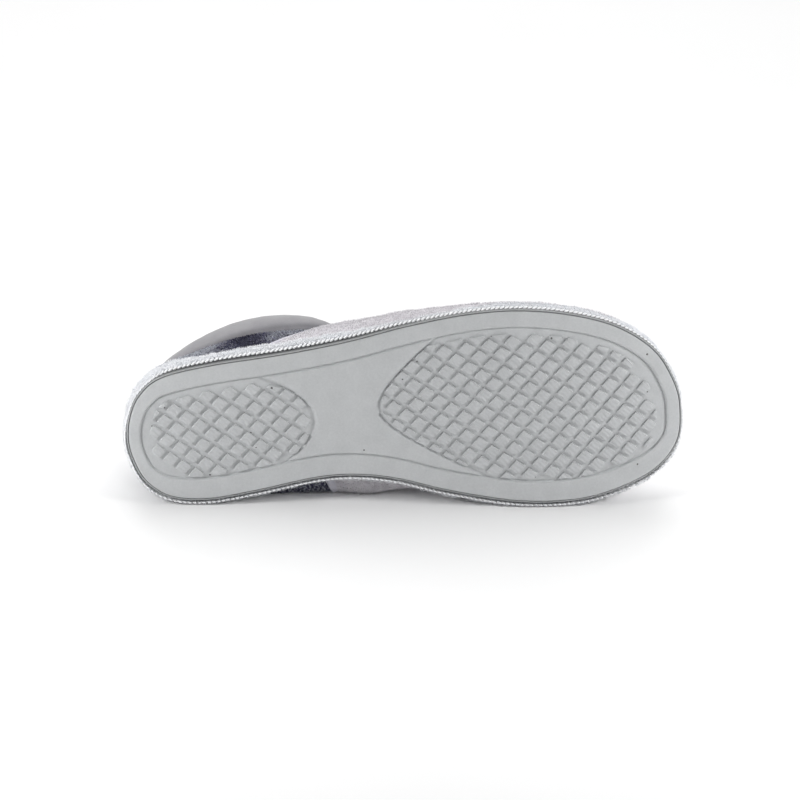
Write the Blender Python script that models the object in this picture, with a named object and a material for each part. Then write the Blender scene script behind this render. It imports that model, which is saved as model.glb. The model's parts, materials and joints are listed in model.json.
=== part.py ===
"""Faux fur lined slipper for the right foot, lying on its medial side with the sole upright.

The slipper is modelled in its own shoe frame and then laid down. In the shoe frame x runs from the
heel to the toe, y towards the medial side and z up from the ground under the sole. Tables and sizes
are in millimetres, and MM turns them into Blender's metres.
"""
import math
from collections import namedtuple

import bmesh
import bpy
import numpy as np
from mathutils import Matrix, Vector

MM = 0.001
OBJECT_NAME = "fur_lined_slipper"

# Clearance between pieces that meet, distance at which a mesh's own points are joined (in metres),
# and the angle from which an edge is shaded sharp
GAP = 0.3
WELD = 1e-6
SHARP_ANGLE = 35.0

# Outsole outline, seen from above: from the heel back along the lateral side to the toe and back
OUTLINE = (
    (0.0, -3.0), (2.2, -14.0), (8.0, -24.2), (19.0, -31.4), (42.0, -33.9), (75.0, -34.3), (105.0, -36.1),
    (132.0, -39.6), (158.0, -41.5), (182.0, -39.9), (205.0, -33.9), (225.0, -24.2), (240.0, -9.7),
    (247.3, 7.5), (248.6, 22.0), (245.2, 37.8), (233.0, 49.3), (212.0, 55.5), (192.0, 56.2),
    (168.0, 52.3), (140.0, 43.0), (118.0, 33.8), (100.0, 28.9), (82.0, 27.5), (55.0, 29.6),
    (33.0, 30.4), (16.0, 27.0), (5.5, 18.3), (1.0, 7.0),
)
LATERAL, MEDIAL = -1, 1
SPAN_SAMPLES = 24
TANGENT_STEP = 0.004

# Side profile of the sole: the toe and the heel back curve up from the ground
SPRING_START = 172.0
SPRING_END = 248.6
TOE_SPRING = 7.0
HEEL_ROUND = 16.0
HEEL_RISE = 1.2

# Outsole
OUTSOLE_THICK = 4.0
TREAD_DEPTH = 1.3
TREAD_ROOT = 0.8
SIDE_STEP = 0.8
BORDER_SIDE = 9.3
BORDER_END = 7.0
BORDER_GROOVE = 0.9

# Waist plate: points along each of its edges, and the shares of the outline between which its sides lie
WAIST_STEPS = 12
WAIST_SHARES = (0.12, 0.8)
WAIST_SAMPLES = 200

# Rounded ends of the two tread panels, as parabolas with their tips towards the waist
HEEL_TIP = (85.0, -1.5)
HEEL_TIP_CURVE = 0.0395
FOREFOOT_TIP = (114.5, 1.0)
FOREFOOT_TIP_CURVE = 0.037

# Diamond blocks: pitch of the lattice along and across the sole, and the share a block fills
BLOCK_PITCH_X = 10.3
BLOCK_PITCH_Y = 9.3
BLOCK_FILL = 0.72
BLOCK_START = (54.2, -14.3)
TIP_MARGIN = 1.6
MARGIN_LATERAL = 3.3
MARGIN_MEDIAL = 1.2
BLOCK_MIN_AREA = 5.0
BLOCK_MIN_EDGE = 0.7

# Wedge platform wrapped in plush: top height above the ground at the heel and under the ball
PLATFORM_HEEL_TOP = 13.5
PLATFORM_BALL_TOP = 9.2
WEDGE_START = 45.0
WEDGE_END = 160.0
RING_STEPS = 34

# Edge of a layer from its bottom to its top: offset from the outline, share of the swell and
# share of the height
ProfileRow = namedtuple("ProfileRow", "offset swell rise")
PLATFORM_PROFILE = (
    ProfileRow(-2.0, 0.0, 0.0), ProfileRow(0.0, 0.85, 0.08), ProfileRow(0.0, 1.0, 0.30),
    ProfileRow(0.0, 0.9, 0.62), ProfileRow(-0.1, 0.5, 0.92), ProfileRow(-0.4, 0.0, 1.0),
)

# The plush swells past the outsole, most on the medial side, least beside the little toe and at the heel back
PLUSH_SWELL = 1.4
PLUSH_SWELL_MEDIAL = 2.2
PLUSH_SWELL_LATERAL_TOE = 0.8
PLUSH_SWELL_HEEL_BACK = 0.4
LATERAL_TOE_START = 110.0
LATERAL_TOE_END = 165.0

# Upper: the wall stands on the platform inside the outsole outline
FEATHER_INSET = 1.8
WALL = 2.0
VAMP_STEP = 1.0
STEP_SLOPE = 0.04
WALL_STEPS = 8
COLUMNS_PER_ROW = 2
VAMP_TURN = 90.0
PLACE_STEP = 0.02
HEIGHT_STEP = 0.01

# Quarter sections from the heel back to the throat. share: place along the side of the outline;
# top: the wall's upper edge in plan, half to each side of the centre line, and its height;
# turn: how far the section leans over, in degrees; bulge: outward swell at mid height;
# sag: how far the soft medial side hangs out over the waist, low on the wall
QuarterRow = namedtuple("QuarterRow", "share x half height turn bulge_lateral bulge_medial sag")
CENTRE_LINE = -0.5
QUARTER = (
    QuarterRow(0.000, 7.0, 0.0, 37.0, 36.0, 1.2, 1.2, 0.0),
    QuarterRow(0.050, 10.0, 10.6, 36.8, 36.0, 0.3, 1.4, 0.0),
    QuarterRow(0.100, 19.2, 18.6, 36.2, 36.0, -0.8, 1.4, 0.0),
    QuarterRow(0.150, 32.4, 24.6, 35.8, 36.0, -0.8, 1.2, 0.0),
    QuarterRow(0.195, 48.0, 28.0, 38.0, 38.0, -0.2, 1.2, 0.5),
    QuarterRow(0.235, 65.0, 28.9, 41.4, 42.0, 0.0, 1.4, 3.0),
    QuarterRow(0.262, 82.0, 27.0, 44.0, 48.0, 0.3, 1.6, 6.0),
    QuarterRow(0.285, 96.0, 22.2, 49.2, 60.0, 1.0, 1.8, 8.5),
    QuarterRow(0.312, 103.5, 15.6, 53.6, 72.0, 1.8, 2.0, 10.5),
    QuarterRow(0.335, 108.3, 8.2, 56.3, 82.0, 2.1, 2.3, 12.0),
    QuarterRow(0.352, 110.0, 0.0, 57.5, 90.0, 2.1, 2.5, 12.8),
)
SAG_SKEW = 0.3
VAMP_EDGE_ROW = 7

# The opening runs on over the centre line at both ends of the table
QUARTER_BEFORE = QUARTER[1]._replace(share=-QUARTER[1].share, half=-QUARTER[1].half)
SHARE_AFTER = 2.0 * QUARTER[-1].share - QUARTER[-2].share
QUARTER_AFTER = QUARTER[-2]._replace(share=SHARE_AFTER, half=-QUARTER[-2].half)

# Vamp sections from the throat to the toe: share of the outline, ridge point, swell of each side and sag
VampRow = namedtuple("VampRow", "share x y height bulge_lateral bulge_medial sag")
VAMP = (
    VampRow(0.352, 110.0, -0.5, 57.5, 2.1, 2.5, 12.8),
    VampRow(0.420, 127.0, 1.2, 53.6, 2.1, 2.6, 12.5),
    VampRow(0.500, 146.0, 4.2, 47.8, 1.3, 2.8, 6.5),
    VampRow(0.580, 164.0, 7.6, 42.6, -0.3, 3.0, 1.5),
    VampRow(0.660, 180.0, 10.8, 38.2, -1.2, 3.0, 0.0),
    VampRow(0.740, 195.0, 13.6, 34.6, -0.2, 2.8, 0.0),
    VampRow(0.810, 206.0, 15.8, 32.4, 0.8, 2.2, 0.0),
    VampRow(0.870, 212.0, 17.0, 31.6, 1.2, 1.8, 0.0),
    VampRow(0.935, 212.0, 17.0, 31.6, 1.4, 1.6, 0.0),
    VampRow(1.000, 212.0, 17.0, 31.6, 1.4, 1.4, 0.0),
)
RIDGE_END_ROW = 7

# Insole
INSOLE_THICK = 3.0
INSOLE_CLEAR = 1.2
INSOLE_PROFILE = (
    ProfileRow(-0.8, 0.0, 0.0), ProfileRow(0.0, 0.0, 0.25),
    ProfileRow(0.0, 0.0, 0.7), ProfileRow(-0.9, 0.0, 1.0),
)

# Padded collar roll at each quarter section: height along the wall, thickness across it, how far it stands
# out from the wall, and how much it turns from the wall's own lean to the vertical
CollarRow = namedtuple("CollarRow", "tall thick out upright")
COLLAR = (
    CollarRow(16.0, 8.0, 1.0, 1.0), CollarRow(16.0, 8.0, 1.2, 1.0), CollarRow(15.5, 8.0, 1.5, 1.0),
    CollarRow(15.0, 8.0, 1.8, 1.0), CollarRow(14.0, 8.0, 1.8, 1.0), CollarRow(13.0, 8.0, 1.6, 0.9),
    CollarRow(12.0, 8.0, 1.4, 0.7), CollarRow(11.0, 7.5, 1.0, 0.4), CollarRow(10.0, 7.0, 0.6, 0.2),
    CollarRow(10.0, 6.5, 0.3, 0.1), CollarRow(10.0, 6.0, 0.0, 0.0),
)
COLLAR_GAP = 0.6
COLLAR_SIDES = 10
COLLAR_SMOOTHING = 6

# How far the soft edges are pressed flat where the slipper lies on the floor, and how much the face that
# it lies on looks to the medial side (share of its normal)
PRESS = 0.5
SIDE_FACING = 0.8

# Colours are linear values
Finish = namedtuple("Finish", "colour roughness")
FINISHES = {
    "outsole": Finish((0.50, 0.53, 0.53), 0.62),
    "platform": Finish((0.80, 0.82, 0.84), 0.95),
    "insole": Finish((0.10, 0.10, 0.17), 1.0),
    "upper": Finish((0.66, 0.64, 0.68), 0.95),
    "collar": Finish((0.33, 0.33, 0.36), 0.85),
}


def clear_scene():
    """Remove every object that the scene starts with."""
    for scene_object in list(bpy.data.objects):
        bpy.data.objects.remove(scene_object, do_unlink=True)


def smooth_loop(points):
    """Dense closed curve through the points (Catmull-Rom)."""
    ring = np.array(points, dtype=float)
    before = np.roll(ring, 1, axis=0)
    after = np.roll(ring, -1, axis=0)
    beyond = np.roll(ring, -2, axis=0)
    t = np.linspace(0.0, 1.0, SPAN_SAMPLES, endpoint=False)[:, None, None]
    linear = (after - before) * t
    square = (2.0 * before - 5.0 * ring + 4.0 * after - beyond) * t ** 2
    cube = (3.0 * ring - before - 3.0 * after + beyond) * t ** 3
    curve = 0.5 * (2.0 * ring + linear + square + cube)
    return curve.transpose(1, 0, 2).reshape(-1, 2)


class Outline:
    """The outsole's outline by length: u runs once around it, share along one side of it."""

    def __init__(self, points):
        self.points = smooth_loop(points)
        closed = np.vstack([self.points, self.points[:1]])
        lengths = np.linalg.norm(np.diff(closed, axis=0), axis=1)
        self.along = np.concatenate([[0.0], np.cumsum(lengths)]) / lengths.sum()
        self.closed = closed
        self.lateral_part = self.along[int(np.argmax(self.points[:, 0]))]

    def around(self, side, share):
        """Turn a share of one side, heel to toe, into u."""
        if side == LATERAL:
            return share * self.lateral_part
        return 1.0 - share * (1.0 - self.lateral_part)

    def point(self, u):
        u = u % 1.0
        x = np.interp(u, self.along, self.closed[:, 0])
        y = np.interp(u, self.along, self.closed[:, 1])
        return np.array([x, y])

    def tangent(self, u):
        direction = self.point(u + TANGENT_STEP) - self.point(u - TANGENT_STEP)
        return direction / np.linalg.norm(direction)

    def outward(self, u):
        tangent = self.tangent(u)
        return np.array([tangent[1], -tangent[0]])

    def offset(self, u, distance):
        return self.point(u) + self.outward(u) * distance


OUTSOLE_OUTLINE = Outline(OUTLINE)


def ring_params(steps=RING_STEPS):
    """Places around the outline: lateral side heel to toe, then the medial side back."""
    shares = np.arange(steps + 1) / steps
    lateral = [OUTSOLE_OUTLINE.around(LATERAL, share) for share in shares]
    medial = [OUTSOLE_OUTLINE.around(MEDIAL, share) for share in shares[-2:0:-1]]
    return lateral + medial


def ease(x, start, end):
    """Smooth step from 0 at start to 1 at end."""
    t = min(1.0, max(0.0, (x - start) / (end - start)))
    return t * t * (3.0 - 2.0 * t)


def lift(x):
    """Height of the sole's underside over the ground: toe spring and rounded heel back."""
    toe = max(0.0, (x - SPRING_START) / (SPRING_END - SPRING_START))
    heel = max(0.0, (HEEL_ROUND - x) / HEEL_ROUND)
    return TOE_SPRING * toe ** 2 + HEEL_RISE * heel ** 2


def platform_top(x):
    """Top of the wedge over the ground plane, before the toe spring is added."""
    drop = ease(x, WEDGE_START, WEDGE_END)
    return PLATFORM_HEEL_TOP + (PLATFORM_BALL_TOP - PLATFORM_HEEL_TOP) * drop


def catmull_rom(rows, place, before=None, after=None):
    """Values at a place between a table's rows; before and after are the rows past its ends."""
    table = np.array(rows, dtype=float)
    if before is None:
        before = 2.0 * table[0] - table[1]
    if after is None:
        after = 2.0 * table[-1] - table[-2]
    run = np.vstack([before, table, after])
    index = int(min(max(math.floor(place), 0), len(table) - 2))
    t = place - index
    first, start, end, last = run[index:index + 4]
    linear = (end - first) * t
    square = (2.0 * first - 5.0 * start + 4.0 * end - last) * t ** 2
    cube = (3.0 * start - first - 3.0 * end + last) * t ** 3
    return 0.5 * (2.0 * start + linear + square + cube)


def mesh_object(name, mesh, collection):
    scene_object = bpy.data.objects.new(name, mesh)
    collection.objects.link(scene_object)
    return scene_object


def loft(name, rings, collection, tube=False):
    """Skin through rings of equal count, with its ends closed by strips across or joined as a tube."""
    mesh_data = bmesh.new()
    rows = [[mesh_data.verts.new(Vector(point) * MM) for point in ring] for ring in rings]
    count = len(rows[0])
    pairs = list(zip(rows, rows[1:]))
    if tube:
        pairs.append((rows[-1], rows[0]))
    for low, high in pairs:
        for i in range(count):
            after = (i + 1) % count
            mesh_data.faces.new((low[i], low[after], high[after], high[i]))
    if not tube:
        for end in (rows[0], rows[-1]):
            for i in range(count // 2):
                corners = (end[i], end[i + 1], end[(count - i - 1) % count], end[(count - i) % count])
                mesh_data.faces.new(tuple(dict.fromkeys(corners)))
    bmesh.ops.recalc_face_normals(mesh_data, faces=mesh_data.faces)
    mesh = bpy.data.meshes.new(name)
    mesh_data.to_mesh(mesh)
    mesh_data.free()
    return mesh_object(name, mesh, collection)


def flat_plates(name, outlines, low, high, collection):
    """Plates with straight sides from flat outlines, as one mesh object."""
    curve = bpy.data.curves.new(name, "CURVE")
    curve.dimensions = "2D"
    curve.fill_mode = "BOTH"
    curve.extrude = (high - low) / 2.0 * MM
    for outline in outlines:
        spline = curve.splines.new("POLY")
        spline.points.add(len(outline) - 1)
        spline.use_cyclic_u = True
        for spline_point, (x, y) in zip(spline.points, outline):
            spline_point.co = (x * MM, y * MM, 0.0, 1.0)
    curve_object = mesh_object(name, curve, collection)
    curve_object.location.z = (low + high) / 2.0 * MM
    bpy.context.view_layer.update()
    evaluated = curve_object.evaluated_get(bpy.context.evaluated_depsgraph_get())
    mesh = bpy.data.meshes.new_from_object(evaluated)
    mesh.transform(curve_object.matrix_world)
    bpy.data.objects.remove(curve_object, do_unlink=True)
    mesh_data = bmesh.new()
    mesh_data.from_mesh(mesh)
    bmesh.ops.remove_doubles(mesh_data, verts=mesh_data.verts, dist=WELD)
    bmesh.ops.recalc_face_normals(mesh_data, faces=mesh_data.faces)
    mesh_data.to_mesh(mesh)
    mesh_data.free()
    return mesh_object(name, mesh, collection)


def join_solids(base, additions):
    """Union of the base with the additions, kept as the base's own mesh."""
    for addition in additions:
        union = base.modifiers.new(addition.name, "BOOLEAN")
        union.operation = "UNION"
        union.object = addition
    bpy.context.view_layer.update()
    evaluated = base.evaluated_get(bpy.context.evaluated_depsgraph_get())
    joined = bpy.data.meshes.new_from_object(evaluated)
    base.modifiers.clear()
    base.data = joined
    for addition in additions:
        bpy.data.objects.remove(addition, do_unlink=True)


def border_line(u, extra=0.0):
    """Inner edge of the outsole's smooth border, which is narrower at the toe and the heel back."""
    across = OUTSOLE_OUTLINE.outward(u)[0] ** 2
    width = BORDER_SIDE + (BORDER_END - BORDER_SIDE) * across
    return OUTSOLE_OUTLINE.offset(u, -width - extra)


def heel_tip_x(y, margin=0.0):
    return HEEL_TIP[0] - margin - HEEL_TIP_CURVE * (y - HEEL_TIP[1]) ** 2


def forefoot_tip_x(y, margin=0.0):
    return FOREFOOT_TIP[0] + margin + FOREFOOT_TIP_CURVE * (y - FOREFOOT_TIP[1]) ** 2


def waist_outline():
    """Smooth plate between the tread panels, a groove away from the border."""
    sides = {}
    for side in (LATERAL, MEDIAL):
        line = [border_line(OUTSOLE_OUTLINE.around(side, share), BORDER_GROOVE)
                for share in np.linspace(*WAIST_SHARES, WAIST_SAMPLES)]
        kept = [p for p in line if heel_tip_x(p[1]) < p[0] < forefoot_tip_x(p[1])]
        picks = np.linspace(0, len(kept) - 1, WAIST_STEPS).round().astype(int)
        sides[side] = [kept[i] for i in picks]
    forefoot_y = np.linspace(sides[LATERAL][-1][1], sides[MEDIAL][-1][1], WAIST_STEPS + 2)[1:-1]
    heel_y = np.linspace(sides[MEDIAL][0][1], sides[LATERAL][0][1], WAIST_STEPS)[1:-1]
    forefoot_end = [(forefoot_tip_x(y), y) for y in forefoot_y]
    heel_end = [(heel_tip_x(y), y) for y in heel_y]
    return sides[LATERAL] + forefoot_end + sides[MEDIAL][::-1] + heel_end


def tread_panel(tip_x, keeps):
    """Convex outline of the space that one panel's blocks fill, counter-clockwise."""
    border = []
    for u in ring_params():
        medial = max(0.0, OUTSOLE_OUTLINE.outward(u)[1])
        border.append(border_line(u, MARGIN_LATERAL + (MARGIN_MEDIAL - MARGIN_LATERAL) * medial))
    kept = [keeps(p[0], tip_x(p[1], TIP_MARGIN)) for p in border]
    count = len(border)
    start = next(i for i in range(count) if kept[i] and not kept[i - 1])
    run = []
    for i in range(start, start + count):
        if not kept[i % count]:
            break
        run.append(tuple(border[i % count]))
    tip_y = np.linspace(run[-1][1], run[0][1], WAIST_STEPS)[1:-1]
    return run + [(tip_x(y, TIP_MARGIN), y) for y in tip_y]


def clip_to_panel(polygon, panel):
    """Part of a polygon inside a convex panel (Sutherland-Hodgman)."""
    for (ax, ay), (bx, by) in zip(panel, panel[1:] + panel[:1]):
        def inside_by(point):
            return (bx - ax) * (point[1] - ay) - (by - ay) * (point[0] - ax)
        clipped = []
        for here, after in zip(polygon, polygon[1:] + polygon[:1]):
            d_here, d_after = inside_by(here), inside_by(after)
            if d_here >= 0.0:
                clipped.append(here)
            if d_here * d_after < 0.0:
                t = d_here / (d_here - d_after)
                clipped.append((here[0] + t * (after[0] - here[0]), here[1] + t * (after[1] - here[1])))
        polygon = clipped
        if not polygon:
            break
    return polygon


def polygon_area(polygon):
    pairs = zip(polygon, polygon[1:] + polygon[:1])
    return 0.5 * abs(sum(ax * by - bx * ay for (ax, ay), (bx, by) in pairs))


def without_short_edges(polygon):
    kept = []
    for point in polygon:
        if not kept or math.dist(point, kept[-1]) > BLOCK_MIN_EDGE:
            kept.append(point)
    if len(kept) > 1 and math.dist(kept[0], kept[-1]) <= BLOCK_MIN_EDGE:
        kept.pop()
    return kept


def tread_blocks():
    """Diamond blocks of both panels, cut off at the edge of their panel."""
    panels = (
        tread_panel(heel_tip_x, lambda x, tip: x < tip),
        tread_panel(forefoot_tip_x, lambda x, tip: x > tip),
    )
    half_x = BLOCK_FILL * BLOCK_PITCH_X / 2.0
    half_y = BLOCK_FILL * BLOCK_PITCH_Y / 2.0
    low_x, low_y = OUTSOLE_OUTLINE.points.min(axis=0)
    high_x, high_y = OUTSOLE_OUTLINE.points.max(axis=0)
    rows = [round(2.0 * (y - BLOCK_START[1]) / BLOCK_PITCH_Y) for y in (low_y, high_y)]
    places = [round((x - BLOCK_START[0]) / BLOCK_PITCH_X) for x in (low_x, high_x)]
    blocks = []
    for row in range(rows[0], rows[1] + 1):
        y = BLOCK_START[1] + row * BLOCK_PITCH_Y / 2.0
        for place in range(places[0] - 1, places[1] + 1):
            x = BLOCK_START[0] + (place + (row % 2) / 2.0) * BLOCK_PITCH_X
            diamond = [(x - half_x, y), (x, y - half_y), (x + half_x, y), (x, y + half_y)]
            for panel in panels:
                block = without_short_edges(clip_to_panel(diamond, panel))
                if len(block) > 2 and polygon_area(block) > BLOCK_MIN_AREA:
                    blocks.append(block)
    return blocks


def bend_with_sole(scene_object):
    """Triangulate a flat-built piece and lift it by the sole's side profile."""
    mesh_data = bmesh.new()
    mesh_data.from_mesh(scene_object.data)
    bmesh.ops.remove_doubles(mesh_data, verts=mesh_data.verts, dist=WELD)
    bmesh.ops.triangulate(mesh_data, faces=mesh_data.faces)
    for vertex in mesh_data.verts:
        vertex.co.z += lift(vertex.co.x / MM) * MM
    mesh_data.to_mesh(scene_object.data)
    mesh_data.free()


def make_outsole(collection, helpers):
    """Base plate with a raised border, waist plate and tread blocks under it."""
    params = ring_params()

    def ring(offset, z):
        return [(*OUTSOLE_OUTLINE.offset(u, offset), z) for u in params]

    root = TREAD_DEPTH + TREAD_ROOT
    base = loft("outsole", [ring(SIDE_STEP, TREAD_DEPTH), ring(SIDE_STEP, OUTSOLE_THICK)], collection)
    inner = [tuple(border_line(u)) for u in params]
    border_rings = [
        ring(0.0, 0.0),
        ring(0.0, root),
        [(*point, root) for point in inner],
        [(*point, 0.0) for point in inner],
    ]
    border = loft("border", border_rings, helpers, tube=True)
    waist = flat_plates("waist", [waist_outline()], 0.0, root, helpers)
    blocks = flat_plates("blocks", tread_blocks(), 0.0, root, helpers)
    join_solids(base, (border, waist, blocks))
    bend_with_sole(base)
    return base


def plush_swell(u):
    """How far the plush stands out past the outsole at a place around it."""
    along, across = OUTSOLE_OUTLINE.outward(u)
    toe = ease(OUTSOLE_OUTLINE.point(u)[0], LATERAL_TOE_START, LATERAL_TOE_END)
    medial = PLUSH_SWELL_MEDIAL * max(0.0, across)
    lateral = PLUSH_SWELL_LATERAL_TOE * max(0.0, -across) * toe
    heel_back = PLUSH_SWELL_HEEL_BACK * max(0.0, -along)
    return PLUSH_SWELL + medial - lateral - heel_back


def sole_layer(name, profile, base_offset, bottom, top, collection):
    """Layer that follows the outline: profile rows give its edge, from the bottom to the top."""
    rings = []
    for row in profile:
        ring = []
        for u in ring_params():
            x, y = OUTSOLE_OUTLINE.offset(u, base_offset + row.offset + row.swell * plush_swell(u))
            low, high = bottom(x), top(x)
            ring.append((x, y, low + (high - low) * row.rise + lift(x)))
        rings.append(ring)
    return loft(name, rings, collection)


def make_platform(collection):
    return sole_layer("platform", PLATFORM_PROFILE, 0.0,
                      lambda x: OUTSOLE_THICK + GAP, platform_top, collection)


def make_insole(collection):
    inset = -(FEATHER_INSET + WALL + INSOLE_CLEAR)
    return sole_layer("insole", INSOLE_PROFILE, inset,
                      lambda x: platform_top(x) + GAP,
                      lambda x: platform_top(x) + GAP + INSOLE_THICK, collection)


Column = namedtuple("Column", "share top turn bulge sag")


def quarter_column(side, place):
    """Wall section at a place in the quarter table."""
    row = QuarterRow(*catmull_rom(QUARTER, place, QUARTER_BEFORE, QUARTER_AFTER))
    bulge, sag = (row.bulge_lateral, 0.0) if side == LATERAL else (row.bulge_medial, row.sag)
    top = np.array([row.x, CENTRE_LINE + side * row.half, row.height])
    return Column(row.share, top, row.turn, bulge, sag)


def vamp_column(side, place):
    """Wall section at a place in the vamp table, up to the ridge."""
    row = VampRow(*catmull_rom(VAMP, place))
    bulge, sag = (row.bulge_lateral, 0.0) if side == LATERAL else (row.bulge_medial, row.sag)
    ridge = VampRow(*catmull_rom(VAMP[:RIDGE_END_ROW + 1], min(place, RIDGE_END_ROW)))
    top = np.array([ridge.x, ridge.y, ridge.height])
    return Column(row.share, top, VAMP_TURN, bulge, sag)


def wall_point(side, column, v):
    """Point of a wall section: v is 0 at the platform and 1 at the top edge or the ridge."""
    u = OUTSOLE_OUTLINE.around(side, column.share)
    outward = OUTSOLE_OUTLINE.outward(u)
    tangent = OUTSOLE_OUTLINE.tangent(u)
    foot = OUTSOLE_OUTLINE.offset(u, -FEATHER_INSET)
    run = column.top[:2] - foot
    turn = math.radians(column.turn)
    lean = (1.0 - math.cos(turn * v)) / (1.0 - math.cos(turn))
    climb = math.sin(turn * v) / math.sin(turn)
    swell = column.bulge * math.sin(math.pi * v) + column.sag * math.sin(math.pi * v ** SAG_SKEW) ** 2
    plan = foot + outward * (np.dot(run, outward) * lean + swell) + tangent * np.dot(run, tangent) * climb
    foot_height = platform_top(foot[0]) + GAP
    height = foot_height + (column.top[2] - foot_height) * climb
    return np.array([plan[0], plan[1], height + lift(plan[0])])


def wall_normal(side, section, place, v):
    """Outward normal of the smooth wall."""
    v_mid = min(max(v, HEIGHT_STEP), 1.0 - HEIGHT_STEP)
    along = wall_point(side, section(side, place + PLACE_STEP), v_mid)
    along = along - wall_point(side, section(side, place - PLACE_STEP), v_mid)
    up = wall_point(side, section(side, place), v_mid + HEIGHT_STEP)
    up = up - wall_point(side, section(side, place), v_mid - HEIGHT_STEP)
    normal = np.cross(along, up) * -side
    if v == 0.0:
        normal[2] = 0.0
    return normal / np.linalg.norm(normal)


WallPlace = namedtuple("WallPlace", "side section place raised open_top")


def side_places(side):
    """Wall sections of one side from the heel back to the toe, with the vamp's edge as a close pair."""
    places = []
    edge = VAMP_EDGE_ROW
    for k in range(edge * COLUMNS_PER_ROW):
        places.append(WallPlace(side, quarter_column, k / COLUMNS_PER_ROW, False, True))
    places.append(WallPlace(side, quarter_column, edge - STEP_SLOPE, False, True))
    places.append(WallPlace(side, quarter_column, edge + STEP_SLOPE, True, True))
    throat = len(QUARTER) - 1
    for k in range(edge * COLUMNS_PER_ROW + 1, throat * COLUMNS_PER_ROW + 1):
        places.append(WallPlace(side, quarter_column, k / COLUMNS_PER_ROW, True, True))
    for k in range(1, (len(VAMP) - 1) * COLUMNS_PER_ROW + 1):
        places.append(WallPlace(side, vamp_column, k / COLUMNS_PER_ROW, True, False))
    return places


def wall_pair(place, v):
    """Outer and inner point of the wall at one place, and its normal there. Both sides share the ridge."""
    point = wall_point(place.side, place.section(place.side, place.place), v)
    at_ridge = v == 1.0 and (not place.open_top or place.place == len(QUARTER) - 1)
    if at_ridge:
        ridge_place = place.place if place.section is vamp_column else 0.0
        normals = [wall_normal(side, vamp_column, ridge_place, 1.0) for side in (LATERAL, MEDIAL)]
        normal = normals[0] + normals[1]
        if ridge_place >= RIDGE_END_ROW:
            normal = np.array([0.0, 0.0, 1.0])
        normal = normal / np.linalg.norm(normal)
    else:
        normal = wall_normal(place.side, place.section, place.place, v)
    raised = VAMP_STEP if place.raised else 0.0
    return point + normal * raised, point - normal * WALL, normal


def make_upper(collection):
    """Hollow wall: outer and inner skins joined by rims at the platform and around the opening."""
    places = side_places(LATERAL) + side_places(MEDIAL)[-2:0:-1]
    heights = [i / WALL_STEPS for i in range(WALL_STEPS + 1)]
    mesh_data = bmesh.new()
    outer, inner = [], []
    for place in places:
        pairs = [wall_pair(place, v) for v in heights]
        outer.append([mesh_data.verts.new(Vector(pair[0]) * MM) for pair in pairs])
        inner.append([mesh_data.verts.new(Vector(pair[1]) * MM) for pair in pairs])
    count = len(places)
    for j in range(count):
        after = (j + 1) % count
        for i in range(WALL_STEPS):
            mesh_data.faces.new((outer[j][i], outer[after][i], outer[after][i + 1], outer[j][i + 1]))
            mesh_data.faces.new((inner[j][i], inner[j][i + 1], inner[after][i + 1], inner[after][i]))
        mesh_data.faces.new((outer[j][0], inner[j][0], inner[after][0], outer[after][0]))
        if places[j].open_top and places[after].open_top:
            mesh_data.faces.new((outer[j][-1], outer[after][-1], inner[after][-1], inner[j][-1]))
    bmesh.ops.remove_doubles(mesh_data, verts=mesh_data.verts, dist=WELD)
    bmesh.ops.recalc_face_normals(mesh_data, faces=mesh_data.faces)
    mesh = bpy.data.meshes.new("upper")
    mesh_data.to_mesh(mesh)
    mesh_data.free()
    return mesh_object("upper", mesh, collection)


def topline():
    """Edge of the opening: middle of the quarter's rim, its normal and the roll's row, from the heel back."""
    last = (len(QUARTER) - 1) * COLUMNS_PER_ROW
    lateral = [(LATERAL, k) for k in range(last + 1)]
    medial = [(MEDIAL, k) for k in range(last - 1, 0, -1)]
    rim = []
    for side, k in lateral + medial:
        place = WallPlace(side, quarter_column, k / COLUMNS_PER_ROW, False, True)
        outside, inside, normal = wall_pair(place, 1.0)
        rim.append(((outside + inside) / 2.0, normal, catmull_rom(COLLAR, place.place)))
    points, normals, rows = (np.array(values) for values in zip(*rim))
    for _ in range(COLLAR_SMOOTHING):
        normals = (np.roll(normals, 1, axis=0) + 2.0 * normals + np.roll(normals, -1, axis=0)) / 4.0
    return points, normals, CollarRow(*rows.T[:, :, None])


def make_collar(collection):
    """Padded roll that sits on the rim, an oval swept around the opening."""
    points, normals, row = topline()
    along = np.roll(points, -1, axis=0) - np.roll(points, 1, axis=0)
    away = np.cross(normals, along)
    away /= np.linalg.norm(away, axis=1)[:, None]
    away[:, 2] += row.upright[:, 0]
    away -= along * (np.sum(away * along, axis=1) / np.sum(along * along, axis=1))[:, None]
    away /= np.linalg.norm(away, axis=1)[:, None]
    across = np.cross(along, away)
    across /= np.linalg.norm(across, axis=1)[:, None]
    centres = points + away * (COLLAR_GAP + row.tall / 2.0) + across * row.out
    rings = []
    for k in range(COLLAR_SIDES):
        angle = 2.0 * math.pi * k / COLLAR_SIDES
        thick = row.thick / 2.0 * math.sin(angle)
        tall = row.tall / 2.0 * math.cos(angle)
        rings.append(centres + across * thick + away * tall)
    return loft("collar", rings, collection, tube=True)


def mesh_mass_centre(scene_objects):
    """Volume and centre of the pieces together, as of one material."""
    volume, moment = 0.0, np.zeros(3)
    for scene_object in scene_objects:
        mesh = scene_object.data
        mesh.calc_loop_triangles()
        points = np.array([vertex.co for vertex in mesh.vertices])
        corners = points[np.array([triangle.vertices for triangle in mesh.loop_triangles])]
        signed = np.einsum("ij,ij->i", corners[:, 0], np.cross(corners[:, 1], corners[:, 2])) / 6.0
        volume += signed.sum()
        moment += (corners.sum(axis=1) / 4.0 * signed[:, None]).sum(axis=0)
    return moment / volume


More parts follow.
